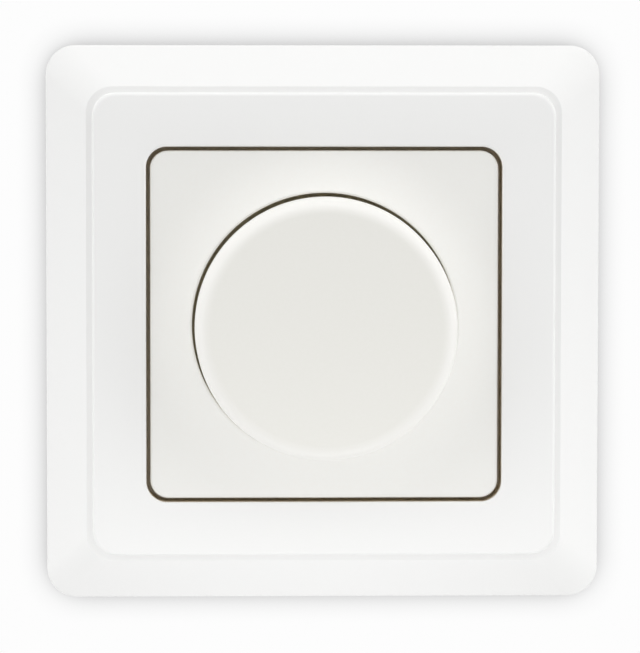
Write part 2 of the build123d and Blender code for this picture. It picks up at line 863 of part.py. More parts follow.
def make_claw(side):
    """Sheet claw, rolled at its hinge, with a forked lug, a window that clears the screw and a toothed tip."""
    low = pivot_height - claw_reach
    half = claw_sheet / 2
    leg = (pivot_x - half, pivot_x + half)
    z_mid = side * claw_middle
    z_span = (z_mid - claw_width / 2, z_mid + claw_width / 2)

    def sheet(x_span, low_height, high_height):
        return block(sorted((side * x_span[0], side * x_span[1])), z_span, low_height, high_height)

    claw = sheet(leg, low, pivot_height)
    claw += sheet((pivot_x, pivot_x + claw_lug_reach), lug_top - claw_sheet, lug_top)
    claw += sheet((pivot_x, pivot_x + claw_tip_reach - claw_tooth), low, low + claw_sheet)
    claw = round_edges(claw, lambda edge: at_height(edge, low) and edge.center().X * side < leg[0] + 0.001, claw_bend)
    roll_length = claw_width + 2 * (ear_gap + claw_journal)
    start = Plane(origin=(side * pivot_x, -pivot_height, z_mid - roll_length / 2), z_dir=(0, 0, 1))
    claw += extrude(start * Circle(claw_roll), roll_length)
    tooth_width = claw_width / claw_teeth
    root_x = side * (pivot_x + claw_tip_reach - claw_tooth)
    tip_x = side * (pivot_x + claw_tip_reach)
    for number in range(claw_teeth):
        z = z_span[0] + number * tooth_width
        tooth = make_face(Polyline((root_x, z), (root_x, z + tooth_width), (tip_x, z + tooth_width / 2), close=True))
        claw += slab(tooth, low, low + claw_sheet)
    slot_half = claw_screw_radius + claw_slot_play
    slot_z = (z_mid - slot_half, z_mid + slot_half)
    slot_x = (claw_screw_x - claw_screw_radius - claw_slot_lead, pivot_x + claw_lug_reach)
    claw -= block(sorted((side * slot_x[0], side * slot_x[1])), slot_z, lug_top - claw_sheet, lug_top)
    window_low = pivot_height - (pivot_height - claw_screw_end) / math.cos(math.radians(claw_swing)) - claw_slot_lead
    return claw - block(sorted((side * leg[0], side * leg[1])), slot_z, window_low, lug_top - claw_sheet)


def make_claw_screws():
    """Long slotted screws, one for each claw."""
    screws = Part()
    top = support_thick + claw_screw_head
    for side in (-1, 1):
        x = side * claw_screw_x
        z = side * claw_middle
        head = screw_head_on_plate(x, z, claw_screw_head_radius, claw_screw_head)
        shank = disc(x, z, claw_screw_radius, claw_screw_end, support_thick)
        reach = claw_screw_head_radius
        half = cross_width / 2
        screws += head + shank - block((x - reach, x + reach), (z - half, z + half), top - cross_depth, top)
    return screws


def make_circuit_board():
    """Board with the outline of the cup above the terminals."""
    outline = insert_outline(housing_wall + board_gap)
    below = Pos(0, board_low - housing_radius) * Rectangle(4 * housing_radius, 2 * housing_radius)
    return slab(outline - below, board_back, board_front)


def make_triac():
    """Flat power device against the support plate, its three leads bent back to the board."""
    top = triac_low + triac_length
    body = block((-triac_width / 2, triac_width / 2), (triac_low, top), -pad_thick - triac_thick, -pad_thick)
    body -= disc(0, triac_low + triac_length / 2, rivet_radius + screw_fit, -pad_thick - triac_thick, 0)
    half = triac_lead_width / 2
    middle = -pad_thick - triac_thick / 2
    end = triac_lead_end
    for place in (-1, 0, 1):
        x = place * triac_lead_pitch
        body += block((x - half, x + half), (top, end), middle - half, middle + half)
        body += block((x - half, x + half), (end - triac_lead_width, end), board_front, middle + half)
    return body


def make_triac_pad():
    """Thin insulating pad between the device and the support plate."""
    half = triac_width / 2 + pad_border
    pad = block((-half, half), (triac_low - pad_border, triac_low + triac_length + pad_border), -pad_thick, 0)
    return pad - disc(0, triac_low + triac_length / 2, rivet_radius + screw_fit, -pad_thick, 0)


def make_triac_rivet():
    """Rivet through the support plate, the pad and the device."""
    z = triac_low + triac_length / 2
    back = -pad_thick - triac_thick
    rivet = disc(0, z, rivet_radius, back, support_thick)
    rivet += disc(0, z, rivet_head_radius, support_thick, support_thick + rivet_head)
    return rivet + disc(0, z, rivet_head_radius, back - rivet_head, back)


def make_choke_core():
    """Ferrite spool that stands on the board."""
    high = board_front + choke_length
    core = disc(choke_x, choke_z, choke_core_radius, board_front, high)
    core += disc(choke_x, choke_z, choke_radius, board_front, board_front + choke_flange)
    return core + disc(choke_x, choke_z, choke_radius, high - choke_flange, high)


def make_choke_winding():
    """Copper winding between the spool's flanges."""
    low = board_front + choke_flange
    high = board_front + choke_length - choke_flange
    ring = Circle(choke_winding_radius) - Circle(choke_core_radius)
    return slab(Pos(choke_x, choke_z) * ring, low, high)


def standing_box(x, z, width, length, height):
    """Moulded component that stands on the board on two leads."""
    low = board_front + part_lift
    outline = Pos(x, z) * RectangleRounded(width, length, capacitor_corner)
    body = slab(outline, low, low + height)
    for end in (-1, 1):
        body += disc(x, z + end * length / 4, lead_radius, board_front, low)
    return body


def lying_part(x, z, radius, length):
    """Axial component along X with both leads bent down to the board."""
    height = board_front + part_lift + radius
    start = Plane(origin=(x - length / 2, -height, z), z_dir=(1, 0, 0))
    body = extrude(start * Circle(radius), length)
    for side in (-1, 1):
        inner = x + side * length / 2
        outer = inner + side * lead_span
        span = sorted((inner, outer))
        body += block(span, (z - lead_radius, z + lead_radius), height - lead_radius, height + lead_radius)
        leg = sorted((outer, outer - side * 2 * lead_radius))
        body += block(leg, (z - lead_radius, z + lead_radius), board_front, height + lead_radius)
    return body


def make_resistors():
    resistors = Part()
    for number in range(resistor_count):
        z = resistor_low + number * resistor_pitch
        resistors += lying_part(resistor_x, z, resistor_radius, resistor_length)
    return resistors


def fuse_bar(radius, low, high):
    """Round bar along Z on the fuse's axis."""
    foot = Plane(origin=(fuse_x, -(board_front + fuse_lift), low), z_dir=(0, 0, 1))
    return extrude(foot * Circle(radius), high - low)


def make_fuse_tube():
    half = fuse_length / 2
    radius = fuse_radius - fuse_glass_inset
    tube = fuse_bar(radius, fuse_z - half + fuse_cap / 5, fuse_z + half - fuse_cap / 5)
    return tube - fuse_bar(radius * 0.7, fuse_z - half + fuse_cap, fuse_z + half - fuse_cap)


def make_fuse_caps():
    caps = Part()
    for side in (-1, 1):
        end = fuse_z + side * fuse_length / 2
        span = sorted((end, end - side * fuse_cap))
        cap = fuse_bar(fuse_radius, span[0], span[1])
        inner = sorted((end - side * fuse_cap / 5, end - side * fuse_cap))
        caps += cap - fuse_bar(fuse_radius - fuse_glass_inset, inner[0], inner[1])
    return caps


def make_fuse_clips():
    """Two sprung U-shaped clips on the board."""
    clips = Part()
    inner = fuse_radius + clip_gap
    top = board_front + fuse_lift + fuse_radius * 0.7
    for side in (-1, 1):
        z = fuse_z + side * (fuse_length - fuse_cap) / 2
        span = (z - clip_width / 2, z + clip_width / 2)
        clip = block((fuse_x - inner - clip_thick, fuse_x + inner + clip_thick), span, board_front, top)
        clips += clip - block((fuse_x - inner, fuse_x + inner), span, board_front + clip_thick, top)
    return clips


def make_trimmer_body():
    half = trimmer_side / 2
    high = board_front + trimmer_height
    body = block((trimmer_x - half, trimmer_x + half), (trimmer_z - half, trimmer_z + half), board_front, high)
    pocket = trimmer_disc + trimmer_fit
    return body - disc(trimmer_x, trimmer_z, trimmer_disc_radius + trimmer_fit, high - pocket, high)


def make_trimmer_rotor():
    """Adjuster whose slotted end stands just behind its hole in the support plate."""
    high = board_front + trimmer_height
    end = -trimmer_shaft_gap
    rotor = disc(trimmer_x, trimmer_z, trimmer_disc_radius, high - trimmer_disc, high)
    rotor += disc(trimmer_x, trimmer_z, trimmer_shaft_radius, high, end)
    half = trimmer_slot / 2
    reach = trimmer_shaft_radius
    return rotor - block((trimmer_x - reach, trimmer_x + reach), (trimmer_z - half, trimmer_z + half),
                         end - trimmer_slot, end)


parts = {
    "cover_frame": make_cover_frame(),
    "centre_plate": make_centre_plate(),
    "knob": make_knob(),
    "knob_leaf": make_knob_leaf(),
    "spindle": make_spindle(),
    "threaded_bush": make_bush(),
    "bush_nut": make_nut(support_thick),
    "plate_nut": make_nut(well_floor),
    "pot_case": make_pot_case(),
    "track_disc": make_track_disc(),
    "carbon_track": make_carbon_track(),
    "wiper_rotor": make_wiper_rotor(),
    "wiper_contact": make_wiper_contact(),
    "pot_pins": make_pot_pins(),
    "switch_case": make_switch_case(),
    "switch_plunger": make_plunger(),
    "contact_bridge": make_contact_bridge(),
    "fixed_contacts": make_fixed_contacts(),
    "return_spring": make_return_spring(),
    "support_plate": make_support_plate(),
    "insert_housing": make_housing(),
    "housing_screws": make_housing_screws(),
    "terminal_block": make_terminal_block(),
    "terminal_cages": make_terminal_cages(),
    "terminal_screws": make_terminal_screws(),
    "claw_right": make_claw(1),
    "claw_left": make_claw(-1),
    "claw_screws": make_claw_screws(),
    "circuit_board": make_circuit_board(),
    "triac": make_triac(),
    "triac_pad": make_triac_pad(),
    "triac_rivet": make_triac_rivet(),
    "choke_core": make_choke_core(),
    "choke_winding": make_choke_winding(),
    "mains_capacitor": standing_box(capacitor_x, capacitor_z, capacitor_width, capacitor_length, capacitor_height),
    "timing_capacitor": standing_box(timing_x, timing_z, timing_width, timing_length, timing_height),
    "resistors": make_resistors(),
    "diac": lying_part(diac_x, diac_z, diac_radius, diac_length),
    "fuse_tube": make_fuse_tube(),
    "fuse_caps": make_fuse_caps(),
    "fuse_clips": make_fuse_clips(),
    "trimmer_body": make_trimmer_body(),
    "trimmer_rotor": make_trimmer_rotor(),
}

os.makedirs("parts", exist_ok=True)
for name, part in parts.items():
    export_step(part, f"parts/{name}.step")
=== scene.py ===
# %% [markdown]
# # A white rotary dimmer on a wall
# A flush-mounted dimmer shows three mouldings: a bevelled cover frame, a square centre plate that
# flares up to a round well, and a wide plain knob. Behind the wall sits the insert with its
# claws, terminals and electronics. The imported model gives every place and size, in metres,
# with +Y into the wall, so the room is at negative Y. This lesson dresses that model.

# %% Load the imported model
import math
import bmesh
import bpy
import numpy as np
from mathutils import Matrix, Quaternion, Vector


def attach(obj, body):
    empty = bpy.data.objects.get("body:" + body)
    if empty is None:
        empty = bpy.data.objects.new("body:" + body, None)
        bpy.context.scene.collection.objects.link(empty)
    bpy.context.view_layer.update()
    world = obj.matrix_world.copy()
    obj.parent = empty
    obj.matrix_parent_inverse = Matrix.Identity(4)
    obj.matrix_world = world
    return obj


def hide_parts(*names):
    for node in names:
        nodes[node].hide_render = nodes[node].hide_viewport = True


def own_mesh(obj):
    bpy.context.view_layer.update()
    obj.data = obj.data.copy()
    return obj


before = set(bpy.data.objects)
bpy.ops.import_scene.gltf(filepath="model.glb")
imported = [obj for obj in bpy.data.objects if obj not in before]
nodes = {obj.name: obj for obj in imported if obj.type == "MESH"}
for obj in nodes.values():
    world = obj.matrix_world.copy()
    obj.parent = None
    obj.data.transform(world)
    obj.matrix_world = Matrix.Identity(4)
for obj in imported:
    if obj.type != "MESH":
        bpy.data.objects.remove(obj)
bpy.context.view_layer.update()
MM = 0.001

# %% [markdown]
# The camera comes first, because the likeness is judged from one place. A long lens about
# 0.6 m away was fitted to the outline of the frame, the opening and the knob: it stands a
# little to the left and a little above the middle, so the knob, which stands 21.5 mm proud,
# shifts to the lower right inside its well.

# %% Camera
camera_place = Vector((-18.836, -595.660, 38.729)) * MM
camera_target = Vector((-0.320, 0.0, -0.862)) * MM
camera_roll = math.radians(0.0578)

camera_data = bpy.data.cameras.new("long_lens")
camera_data.lens = 226.1
camera_data.sensor_width = 36.0
camera_data.clip_start = 0.05
camera = bpy.data.objects.new("long_lens", camera_data)
bpy.context.scene.collection.objects.link(camera)
camera.location = camera_place
camera.rotation_mode = "QUATERNION"
straight = (camera_target - camera_place).to_track_quat("-Z", "Y")
camera.rotation_quaternion = straight @ Quaternion((0, 0, 1), camera_roll)
bpy.context.scene.camera = camera
print("camera distance mm", round((camera_target - camera_place).length / MM))


# %% [markdown]
# Colours are written as the sRGB hex values that a designer would pick from the object, and
# one function turns them into the linear values that Blender's sockets expect. A second small
# function adds a node, sets its values and joins its inputs.

# %% Colour and node helpers
def linear(hex_colour, alpha=1.0):
    """sRGB hex to linear: v / 12.92 below 0.04045, and ((v + 0.055) / 1.055) to the power 2.4 above."""
    channels = np.array([int(hex_colour[i:i + 2], 16) for i in (1, 3, 5)]) / 255
    values = np.where(channels <= 0.04045, channels / 12.92, ((channels + 0.055) / 1.055) ** 2.4)
    return (*values.tolist(), alpha)


def add_node(tree, kind, settings=None, **inputs):
    """Adds one node. Settings are its properties; inputs are socket values, or sockets to link from."""
    node = tree.nodes.new(kind)
    for name, value in (settings or {}).items():
        setattr(node, name, value)
    for name, value in inputs.items():
        socket = node.inputs[int(name[1:])] if name[1:].isdigit() else node.inputs[name.replace("_", " ")]
        if isinstance(value, bpy.types.NodeSocket):
            tree.links.new(value, socket)
        else:
            socket.default_value = value
    return node


# %% [markdown]
# The wall is the stage: a pale painted sheet, a hair behind Y = 0 so that it never shares a
# plane with the frame's rim. The frame covers a hole in it, as it covers the wall box in a
# real wall, and the hole lets light reach the back of the frame and the support plate. From
# the room the sheet is opaque. From behind it is clear, so that the insert can be seen. To
# the camera it is near white, with a painted contact shadow: within a few millimetres of the
# frame, where the frame closes off the room, its glow is dimmed by ambient occlusion. To all
# other rays it is plain matt paint, so it lights the object as a wall does and no extra light
# falls on the object.

# %% Wall
wall_half = 1.5
wall_gap = 0.05 * MM
wall_white = 0.982
shadow_reach = 4.5 * MM
shadow_fall = 1.6
hole_half, hole_corner, hole_points = 39.6 * MM, 3.9 * MM, 72

wall_mesh = bpy.data.meshes.new("wall")
# The hole is a rounded square: x = sign(cos a) * (half - corner) + corner * cos a, and z the same with sin.
turn = (np.arange(hole_points) + 0.5) * 2 * math.pi / hole_points
way = np.stack([np.cos(turn), np.sin(turn)], -1)
hole = np.sign(way) * (hole_half - hole_corner) + hole_corner * way
flat_points = np.concatenate([hole * wall_half / hole_half, hole])
wall_points = np.insert(flat_points, 1, wall_gap, axis=1)
here = np.arange(hole_points)
there = (here + 1) % hole_points
wall_faces = np.stack([here, there, there + hole_points, here + hole_points], -1)
wall_mesh.from_pydata(wall_points.tolist(), [], wall_faces.tolist())
wall = bpy.data.objects.new("wall", wall_mesh)
bpy.context.scene.collection.objects.link(wall)

wall_paint = bpy.data.materials.new("matt_wall_paint")
wall_paint.use_nodes = True
tree = wall_paint.node_tree
tree.nodes.clear()
light_path = add_node(tree, "ShaderNodeLightPath")
geometry = add_node(tree, "ShaderNodeNewGeometry")
# Painted contact shadow: near the frame the camera's glow is dimmed by (1 - ambient occlusion) to the power
# shadow_fall.
open_room = add_node(tree, "ShaderNodeAmbientOcclusion", {"samples": 16}, Distance=shadow_reach)
closed = add_node(tree, "ShaderNodeMath", {"operation": "SUBTRACT"}, _0=1.0, _1=open_room.outputs["AO"])
closed = add_node(tree, "ShaderNodeMath", {"operation": "POWER"}, _0=closed.outputs[0], _1=shadow_fall)
glow_with_painted_shadow = add_node(tree, "ShaderNodeMath", {"operation": "SUBTRACT"}, _0=wall_white, _1=closed.outputs[0])
glow = add_node(tree, "ShaderNodeEmission", Color=(1, 1, 1, 1), Strength=glow_with_painted_shadow.outputs[0])
paint = add_node(tree, "ShaderNodeBsdfDiffuse", Color=linear("#E6E6E6"))
front = add_node(tree, "ShaderNodeMixShader", _0=light_path.outputs["Is Camera Ray"], _1=paint.outputs[0],
                 _2=glow.outputs[0])
clear = add_node(tree, "ShaderNodeBsdfTransparent")
side = add_node(tree, "ShaderNodeMixShader", _0=geometry.outputs["Backfacing"], _1=front.outputs[0],
                _2=clear.outputs[0])
add_node(tree, "ShaderNodeOutputMaterial", Surface=side.outputs[0])
wall_mesh.materials.append(wall_paint)
print("wall normal", wall_mesh.polygons[0].normal[:])

# %% [markdown]
# The light is that of a white tent: bright on both sides and above, and dim from the
# direction of the camera, which is why every edge that turns away from the camera is lighter
# than the flat faces. Two soft boxes close below the frame make its lower half lighter.
# The strengths were found by rendering each light alone and matching their sum to the
# brightness of about fifty places on the object.

# %% Light
world = bpy.data.worlds.new("white_tent")
bpy.context.scene.world = world
world.use_nodes = True
tree = world.node_tree
tree.nodes.clear()
light_path = add_node(tree, "ShaderNodeLightPath")
place = add_node(tree, "ShaderNodeTexCoord")
direction = add_node(tree, "ShaderNodeSeparateXYZ", _0=place.outputs["Generated"])

# Each lobe of light, (axis, sign, power, weight), is weight * max(sign * direction, 0) to the power.
tent_lobes = [
    ("Z", 1, 1.0, 1.51),
    ("X", 1, 3.0, 2.34),
    ("X", -1, 3.0, 2.12),
    ("Y", -1, 4.0, 0.13),
    ("Z", -1, 3.0, 0.46),
]
total = None
for axis, sign, power, weight in tent_lobes:
    turned_way = add_node(tree, "ShaderNodeMath", {"operation": "MULTIPLY"}, _0=direction.outputs[axis],
                          _1=float(sign))
    facing = add_node(tree, "ShaderNodeMath", {"operation": "MAXIMUM"}, _0=turned_way.outputs[0], _1=0.0)
    lobe = add_node(tree, "ShaderNodeMath", {"operation": "POWER"}, _0=facing.outputs[0], _1=power)
    lobe = add_node(tree, "ShaderNodeMath", {"operation": "MULTIPLY"}, _0=lobe.outputs[0], _1=weight)
    if total is not None:
        lobe = add_node(tree, "ShaderNodeMath", {"operation": "ADD"}, _0=lobe.outputs[0],
                        _1=total.outputs[0])
    total = lobe
seen = add_node(tree, "ShaderNodeMath", {"operation": "MAXIMUM"},
                _0=light_path.outputs["Is Camera Ray"], _1=light_path.outputs["Is Glossy Ray"])
seen = add_node(tree, "ShaderNodeMath", {"operation": "MAXIMUM"},
                _0=seen.outputs[0], _1=light_path.outputs["Is Transmission Ray"])
tent = add_node(tree, "ShaderNodeBackground", Color=(1, 1, 1, 1), Strength=total.outputs[0])
white = add_node(tree, "ShaderNodeBackground", Color=(1, 1, 1, 1), Strength=wall_white)
mixed = add_node(tree, "ShaderNodeMixShader", _0=seen.outputs[0], _1=tent.outputs[0], _2=white.outputs[0])
add_node(tree, "ShaderNodeOutputWorld", Surface=mixed.outputs[0])


def soft_box(name, place, target, size, power):
    """A square area lamp at a place in metres, turned towards its target, which no camera sees."""
    lamp = bpy.data.lights.new(name, "AREA")
    lamp.shape = "SQUARE"
    lamp.size = size
    lamp.energy = power
    holder = bpy.data.objects.new(name, lamp)
    bpy.context.scene.collection.objects.link(holder)
    holder.location = place
    holder.rotation_mode = "QUATERNION"
    holder.rotation_quaternion = (Vector(target) - Vector(place)).to_track_quat("-Z", "Y")
    holder.visible_camera = False
    print(name, "watts", power)


box_target = (0, 0, -0.03)
soft_box("low_wide_box", (0.0, -0.10, -0.12), box_target, size=0.20, power=0.073)
soft_box("low_edge_box", (0.0, -0.04, -0.085), box_target, size=0.07, power=0.0055)
bpy.context.scene.view_settings.view_transform = "Standard"


# %% [markdown]
# Every new piece is a grid of points: rows run along a section, and columns run round the
# piece. A section is a short list of corners, each with its own small radius, because no
# moulded edge is sharp. The helper below replaces each corner with its arc.

# %% Section and grid helpers
def rounded_section(corners, steps=6):
    """Closed section through corners (a, b, c, radius), each corner replaced by an arc in the (a, b) plane.

    With a turn of angle t between two sides, the arc of radius r starts r * tan(t / 2) before
    the corner and ends as far after it. Value c is blended linearly along the arc.
    """
    points = np.array([corner[:3] for corner in corners], float)
    radii = np.array([corner[3] for corner in corners], float)
    before = np.roll(points, 1, axis=0) - points
    after = np.roll(points, -1, axis=0) - points
    rows = []
    for point, radius, back, on in zip(points, radii, before, after):
        if radius == 0:
            rows.append(point[None])
            continue
        back_unit = back / np.linalg.norm(back[:2])
        on_unit = on / np.linalg.norm(on[:2])
        turn = math.pi - math.acos(np.clip(np.dot(back_unit[:2], on_unit[:2]), -1, 1))
        reach = radius * math.tan(turn / 2)
        start = point + back_unit * reach
        end = point + on_unit * reach
        bisector = (back_unit + on_unit)[:2]
        centre = point[:2] + bisector / np.linalg.norm(bisector) * radius / math.cos(turn / 2)
        share = np.linspace(0, 1, steps + 1)
        first = (start[:2] - centre) / radius
        last = (end[:2] - centre) / radius
        weight_first = np.sin((1 - share) * turn) / math.sin(turn)
        weight_last = np.sin(share * turn) / math.sin(turn)
        arc = centre + radius * (weight_first[:, None] * first + weight_last[:, None] * last)
        third = start[2] + (end[2] - start[2]) * share
        rows.append(np.column_stack([arc, third]))
    return np.concatenate(rows)


def grid_faces(rows, columns, closed_rows=True):
    """Quads between neighbouring points of a grid that is numbered row by row, and whose columns close."""
    row = np.arange(rows if closed_rows else rows - 1)
    r, c = np.meshgrid(row, np.arange(columns), indexing="ij")
    r_next = (r + 1) % rows
    c_next = (c + 1) % columns
    quads = np.stack([r * columns + c, r * columns + c_next, r_next * columns + c_next,
                      r_next * columns + c], -1)
    return quads.reshape(-1, 4)


def signed_volume(points, faces):
    """Sum of the tetrahedra from the origin to each face: positive where the faces point outwards."""
    a, b, c, d = (points[faces[:, k]] for k in range(4))
    return float((np.cross(b - a, c - a) * a).sum() + (np.cross(c - a, d - a) * a).sum()) / 6


def outward(points, faces):
    """The part with its faces turned so that its volume is positive."""
    return points, (faces if signed_volume(points, faces) > 0 else faces[:, ::-1])


def make_piece(name, parts, body, smooth_angle=40):
    """Joins closed parts, each (points in mm, quads), into one mesh, and merges the points at poles."""
    parts = [outward(points.reshape(-1, 3), faces) for points, faces in parts]
    starts = np.cumsum([0] + [len(points) for points, _ in parts])
    points = np.concatenate([points for points, _ in parts])
    faces = np.concatenate([faces + start for (_, faces), start in zip(parts, starts)])
    mesh = bpy.data.meshes.new(name)
    mesh.from_pydata((points * MM).tolist(), [], faces.tolist())
    surface = bmesh.new()
    surface.from_mesh(mesh)
    bmesh.ops.remove_doubles(surface, verts=surface.verts, dist=1e-8)
    bmesh.ops.dissolve_degenerate(surface, edges=surface.edges, dist=1e-9)
    surface.to_mesh(mesh)
    surface.free()
    mesh.shade_smooth()
    mesh.set_sharp_from_angle(angle=math.radians(smooth_angle))
    piece = bpy.data.objects.new(name, mesh)
    bpy.context.scene.collection.objects.link(piece)
    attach(piece, body)
    size = np.round(np.ptp(points, axis=0), 2)
    print(name, "points", len(mesh.vertices), "faces", len(mesh.polygons), "size mm", size)
    return piece


def rib(outline, thickness, angle=0.0, aside=0.0, edge=0.12):
    """A flat rib: an outline of (reach, height) given a thickness, set aside, and turned about the axis.

    Its six rows run through the thickness: the middle point, the outline drawn in by the edge, the
    full outline twice, and the same back to the middle.
    """
    outline = np.array(outline, float)
    middle = outline.mean(axis=0)
    drawn_in = middle + (outline - middle) * (1 - 2 * edge / np.ptp(outline, axis=0).min())
    point = np.repeat(middle[None], len(outline), axis=0)
    half = thickness / 2
    rows = [(point, -half), (drawn_in, -half), (outline, edge - half),
            (outline, half - edge), (drawn_in, half), (point, half)]
    flat = np.stack([np.column_stack([ring, np.full(len(ring), depth + aside)]) for ring, depth in rows])
    reach, height, across = flat[..., 0], flat[..., 1], flat[..., 2]
    x = reach * math.cos(angle) - across * math.sin(angle)
    z = reach * math.sin(angle) + across * math.cos(angle)
    return np.stack([x, -height, z], -1), grid_faces(len(rows), len(outline), closed_rows=False)


# %% [markdown]
# The cover frame is one injection moulding about 2 mm thick: a low rim on the wall, a sloping
# bevel, a shallow step, a flat raised field, and a square opening with a collar and a ledge
# that carries the centre plate. Its section is the same all round, so it is carried
# round a rounded square. The corner radius belongs to the section: it shrinks from the rim
# towards the opening.

# %% Cover frame
def square_rings(section, corner_steps=16):
    """Carries a section of (half side, height, corner radius) round a rounded square.

    Each quarter is an arc of the corner radius about a centre at (half side - radius) in both
    directions, and the straight sides are the gaps between the quarters.
    """
    half, height, corner = (section[:, k, None] for k in range(3))
    turn = np.linspace(0, math.pi / 2, corner_steps + 1)
    quarter = np.repeat(np.arange(4) * math.pi / 2, corner_steps + 1)
    angle = np.tile(turn, 4) + quarter
    side_x = np.sign(np.cos(quarter + math.pi / 4))
    side_z = np.sign(np.sin(quarter + math.pi / 4))
    corner = np.minimum(corner, half)
    x = side_x * (half - corner) + corner * np.cos(angle)
    z = side_z * (half - corner) + corner * np.sin(angle)
    y = -height + 0 * x
    return np.stack([x, y, z], -1)


frame_section = rounded_section([
    (40.00, 0.0, 4.3, 0.15),
    (40.00, 3.0, 4.3, 0.7),
    (34.10, 8.36, 3.8, 0.12),
    (33.18, 8.36, 3.35, 0.12),
    (33.15, 9.5, 3.3, 0.45),
    (25.52, 9.5, 3.0, 0.3),
    (25.52, 5.0, 3.0, 0.1),
    (23.70, 5.0, 1.25, 0.15),
    (23.70, 3.5, 1.25, 0.15),
    (27.25, 3.5, 4.8, 0.15),
    (27.25, 7.5, 4.8, 0.2),
    (31.05, 7.5, 1.3, 0.3),
    (38.00, 2.4, 2.3, 0.4),
    (38.00, 0.0, 2.3, 0.15),
])
rings = square_rings(frame_section)
frame_parts = [(rings, grid_faces(*rings.shape[:2]))]
frame_rib = [(27.1, 1.5), (38.1, 1.5), (38.1, 2.4), (31.1, 7.6), (27.1, 7.6)]
frame_rib_thickness, frame_rib_aside = 1.2, 16.0
for quarter in range(4):
    for aside in (-frame_rib_aside, frame_rib_aside):
        frame_parts.append(rib(frame_rib, frame_rib_thickness, quarter * math.pi / 2, aside))
cover_frame = make_piece("cover_frame_moulding", frame_parts, "insert")
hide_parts("cover_frame")

# %% [markdown]
# The centre plate is square outside and round inside, so its rows change form: the outer ones
# follow the rounded square and the inner ones follow the well. Both are written as a
# distance from the middle at each angle, and the face between them swells up to the well
# along a circular arc.

# %% Centre plate
plate_half, plate_corner, plate_edge = 24.95, 2.6, 0.35
plate_height, flare_radius, flare_rise = 9.05, 27.0, 1.5
well_radius, well_lip = 18.95, 0.3
flare_span = flare_radius - well_radius - well_lip
flare_bend = (flare_span**2 + flare_rise**2) / (2 * flare_rise)

# The angles are even, with more of them where the corner arcs are.
even_angles = np.linspace(0, 2 * math.pi, 240, endpoint=False)
corner_angles = (np.arange(4) + 0.5)[:, None] * math.pi / 2 + np.radians(np.linspace(-3.6, 3.6, 19))
angles = np.unique(np.concatenate([even_angles, corner_angles.ravel()]).round(6))


def square_reach(angle, half, corner):
    """Distance from the middle to a rounded square: half / cos on a side, and on a corner arc
    d.c + sqrt((d.c)^2 - c.c + r^2) for direction d, arc centre c and radius r."""
    along = np.abs(np.cos(angle))
    across = np.abs(np.sin(angle))
    on_side = half / np.maximum(along, across)
    centre = half - corner
    dot = centre * (along + across)
    on_corner = dot + np.sqrt(np.maximum(dot**2 - 2 * centre**2 + corner**2, 0))
    return np.where(on_side * np.minimum(along, across) <= centre, on_side, on_corner)


def flare_height(radius):
    """Plate height, plus b - sqrt(b^2 - d^2) inside the flare, d being the way in from its edge."""
    inwards = np.clip(flare_radius - radius, 0, flare_span)
    return plate_height + flare_bend - np.sqrt(flare_bend**2 - inwards**2)


def plate_ring(reach, height):
    """One row of the plate: its distance from the middle and its height, each spread over all angles."""
    return reach + 0 * angles, height + 0 * angles


# The rows run up the skirt, round the outer edge and over the face to the lip of the well, then
# down the well to the hole for the spindle, and back along the underside to the skirt.
skirt_low, skirt_chamfer, skirt_wall = 5.0, 0.1, 1.5
skirt_foot = square_reach(angles, plate_half - skirt_chamfer, plate_corner - skirt_chamfer)
plate_rows = [plate_ring(skirt_foot, skirt_low),
              plate_ring(square_reach(angles, plate_half, plate_corner), skirt_low + skirt_chamfer)]
for turn in np.linspace(0, math.pi / 2, 9):
    inset = plate_edge * (1 - math.cos(turn))
    reach = square_reach(angles, plate_half - inset, plate_corner - inset)
    plate_rows.append((reach, flare_height(reach) - plate_edge * (1 - math.sin(turn))))
outer_reach = plate_rows[-1][0]
for share in np.linspace(0, 1, 29)[1:]:
    reach = outer_reach + (well_radius + well_lip - outer_reach) * share
    plate_rows.append((reach, flare_height(reach)))
rim_height = float(flare_height(np.array([well_radius + well_lip]))[0])
for turn in np.linspace(0, math.pi / 2, 9)[1:]:
    reach = well_radius + well_lip * (1 - math.sin(turn))
    plate_rows.append(plate_ring(reach, rim_height - well_lip * (1 - math.cos(turn))))
well_section = [(18.95, 5.8), (18.86, 5.59), (18.65, 5.5), (5.25, 5.5), (5.1, 5.35),
                (5.1, 4.0), (20.3, 4.0), (20.45, 4.15), (20.45, 8.25)]
plate_rows += [plate_ring(reach, height) for reach, height in well_section]
skirt_inside = square_reach(angles, plate_half - skirt_wall, plate_corner - skirt_wall)
plate_rows += [plate_ring(skirt_inside, 7.55), plate_ring(skirt_inside, skirt_low)]
plate_grid = np.stack([np.stack([r * np.cos(angles), -h, r * np.sin(angles)], -1) for r, h in plate_rows])
plate_parts = [(plate_grid, grid_faces(*plate_grid.shape[:2]))]
plate_rib, plate_rib_thickness = [(20.3, 5.0), (32.0, 5.0), (32.0, 7.7), (20.3, 8.3)], 1.0
for quarter in range(4):
    plate_parts.append(rib(plate_rib, plate_rib_thickness, math.pi / 4 + quarter * math.pi / 2))
centre_plate = make_piece("centre_plate_moulding", plate_parts, "insert")
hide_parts("centre_plate")

# %% [markdown]
# The knob is a hollow cap turned about the spindle: a flat crown, a 2 mm round edge, a nearly
# straight band, and an undercut skirt that dips into the well. A turned piece is the same
# section carried round a circle, so its rows are circles.

# %% Knob
def turned_rings(section, steps=192):
    """Carries a section of (radius, height) round the knob axis: x = r cos a, z = r sin a."""
    angle = np.linspace(0, 2 * math.pi, steps, endpoint=False)
    radius = section[:, 0, None]
    height = section[:, 1, None]
    return np.stack([radius * np.cos(angle), -height + 0 * angle, radius * np.sin(angle)], -1)


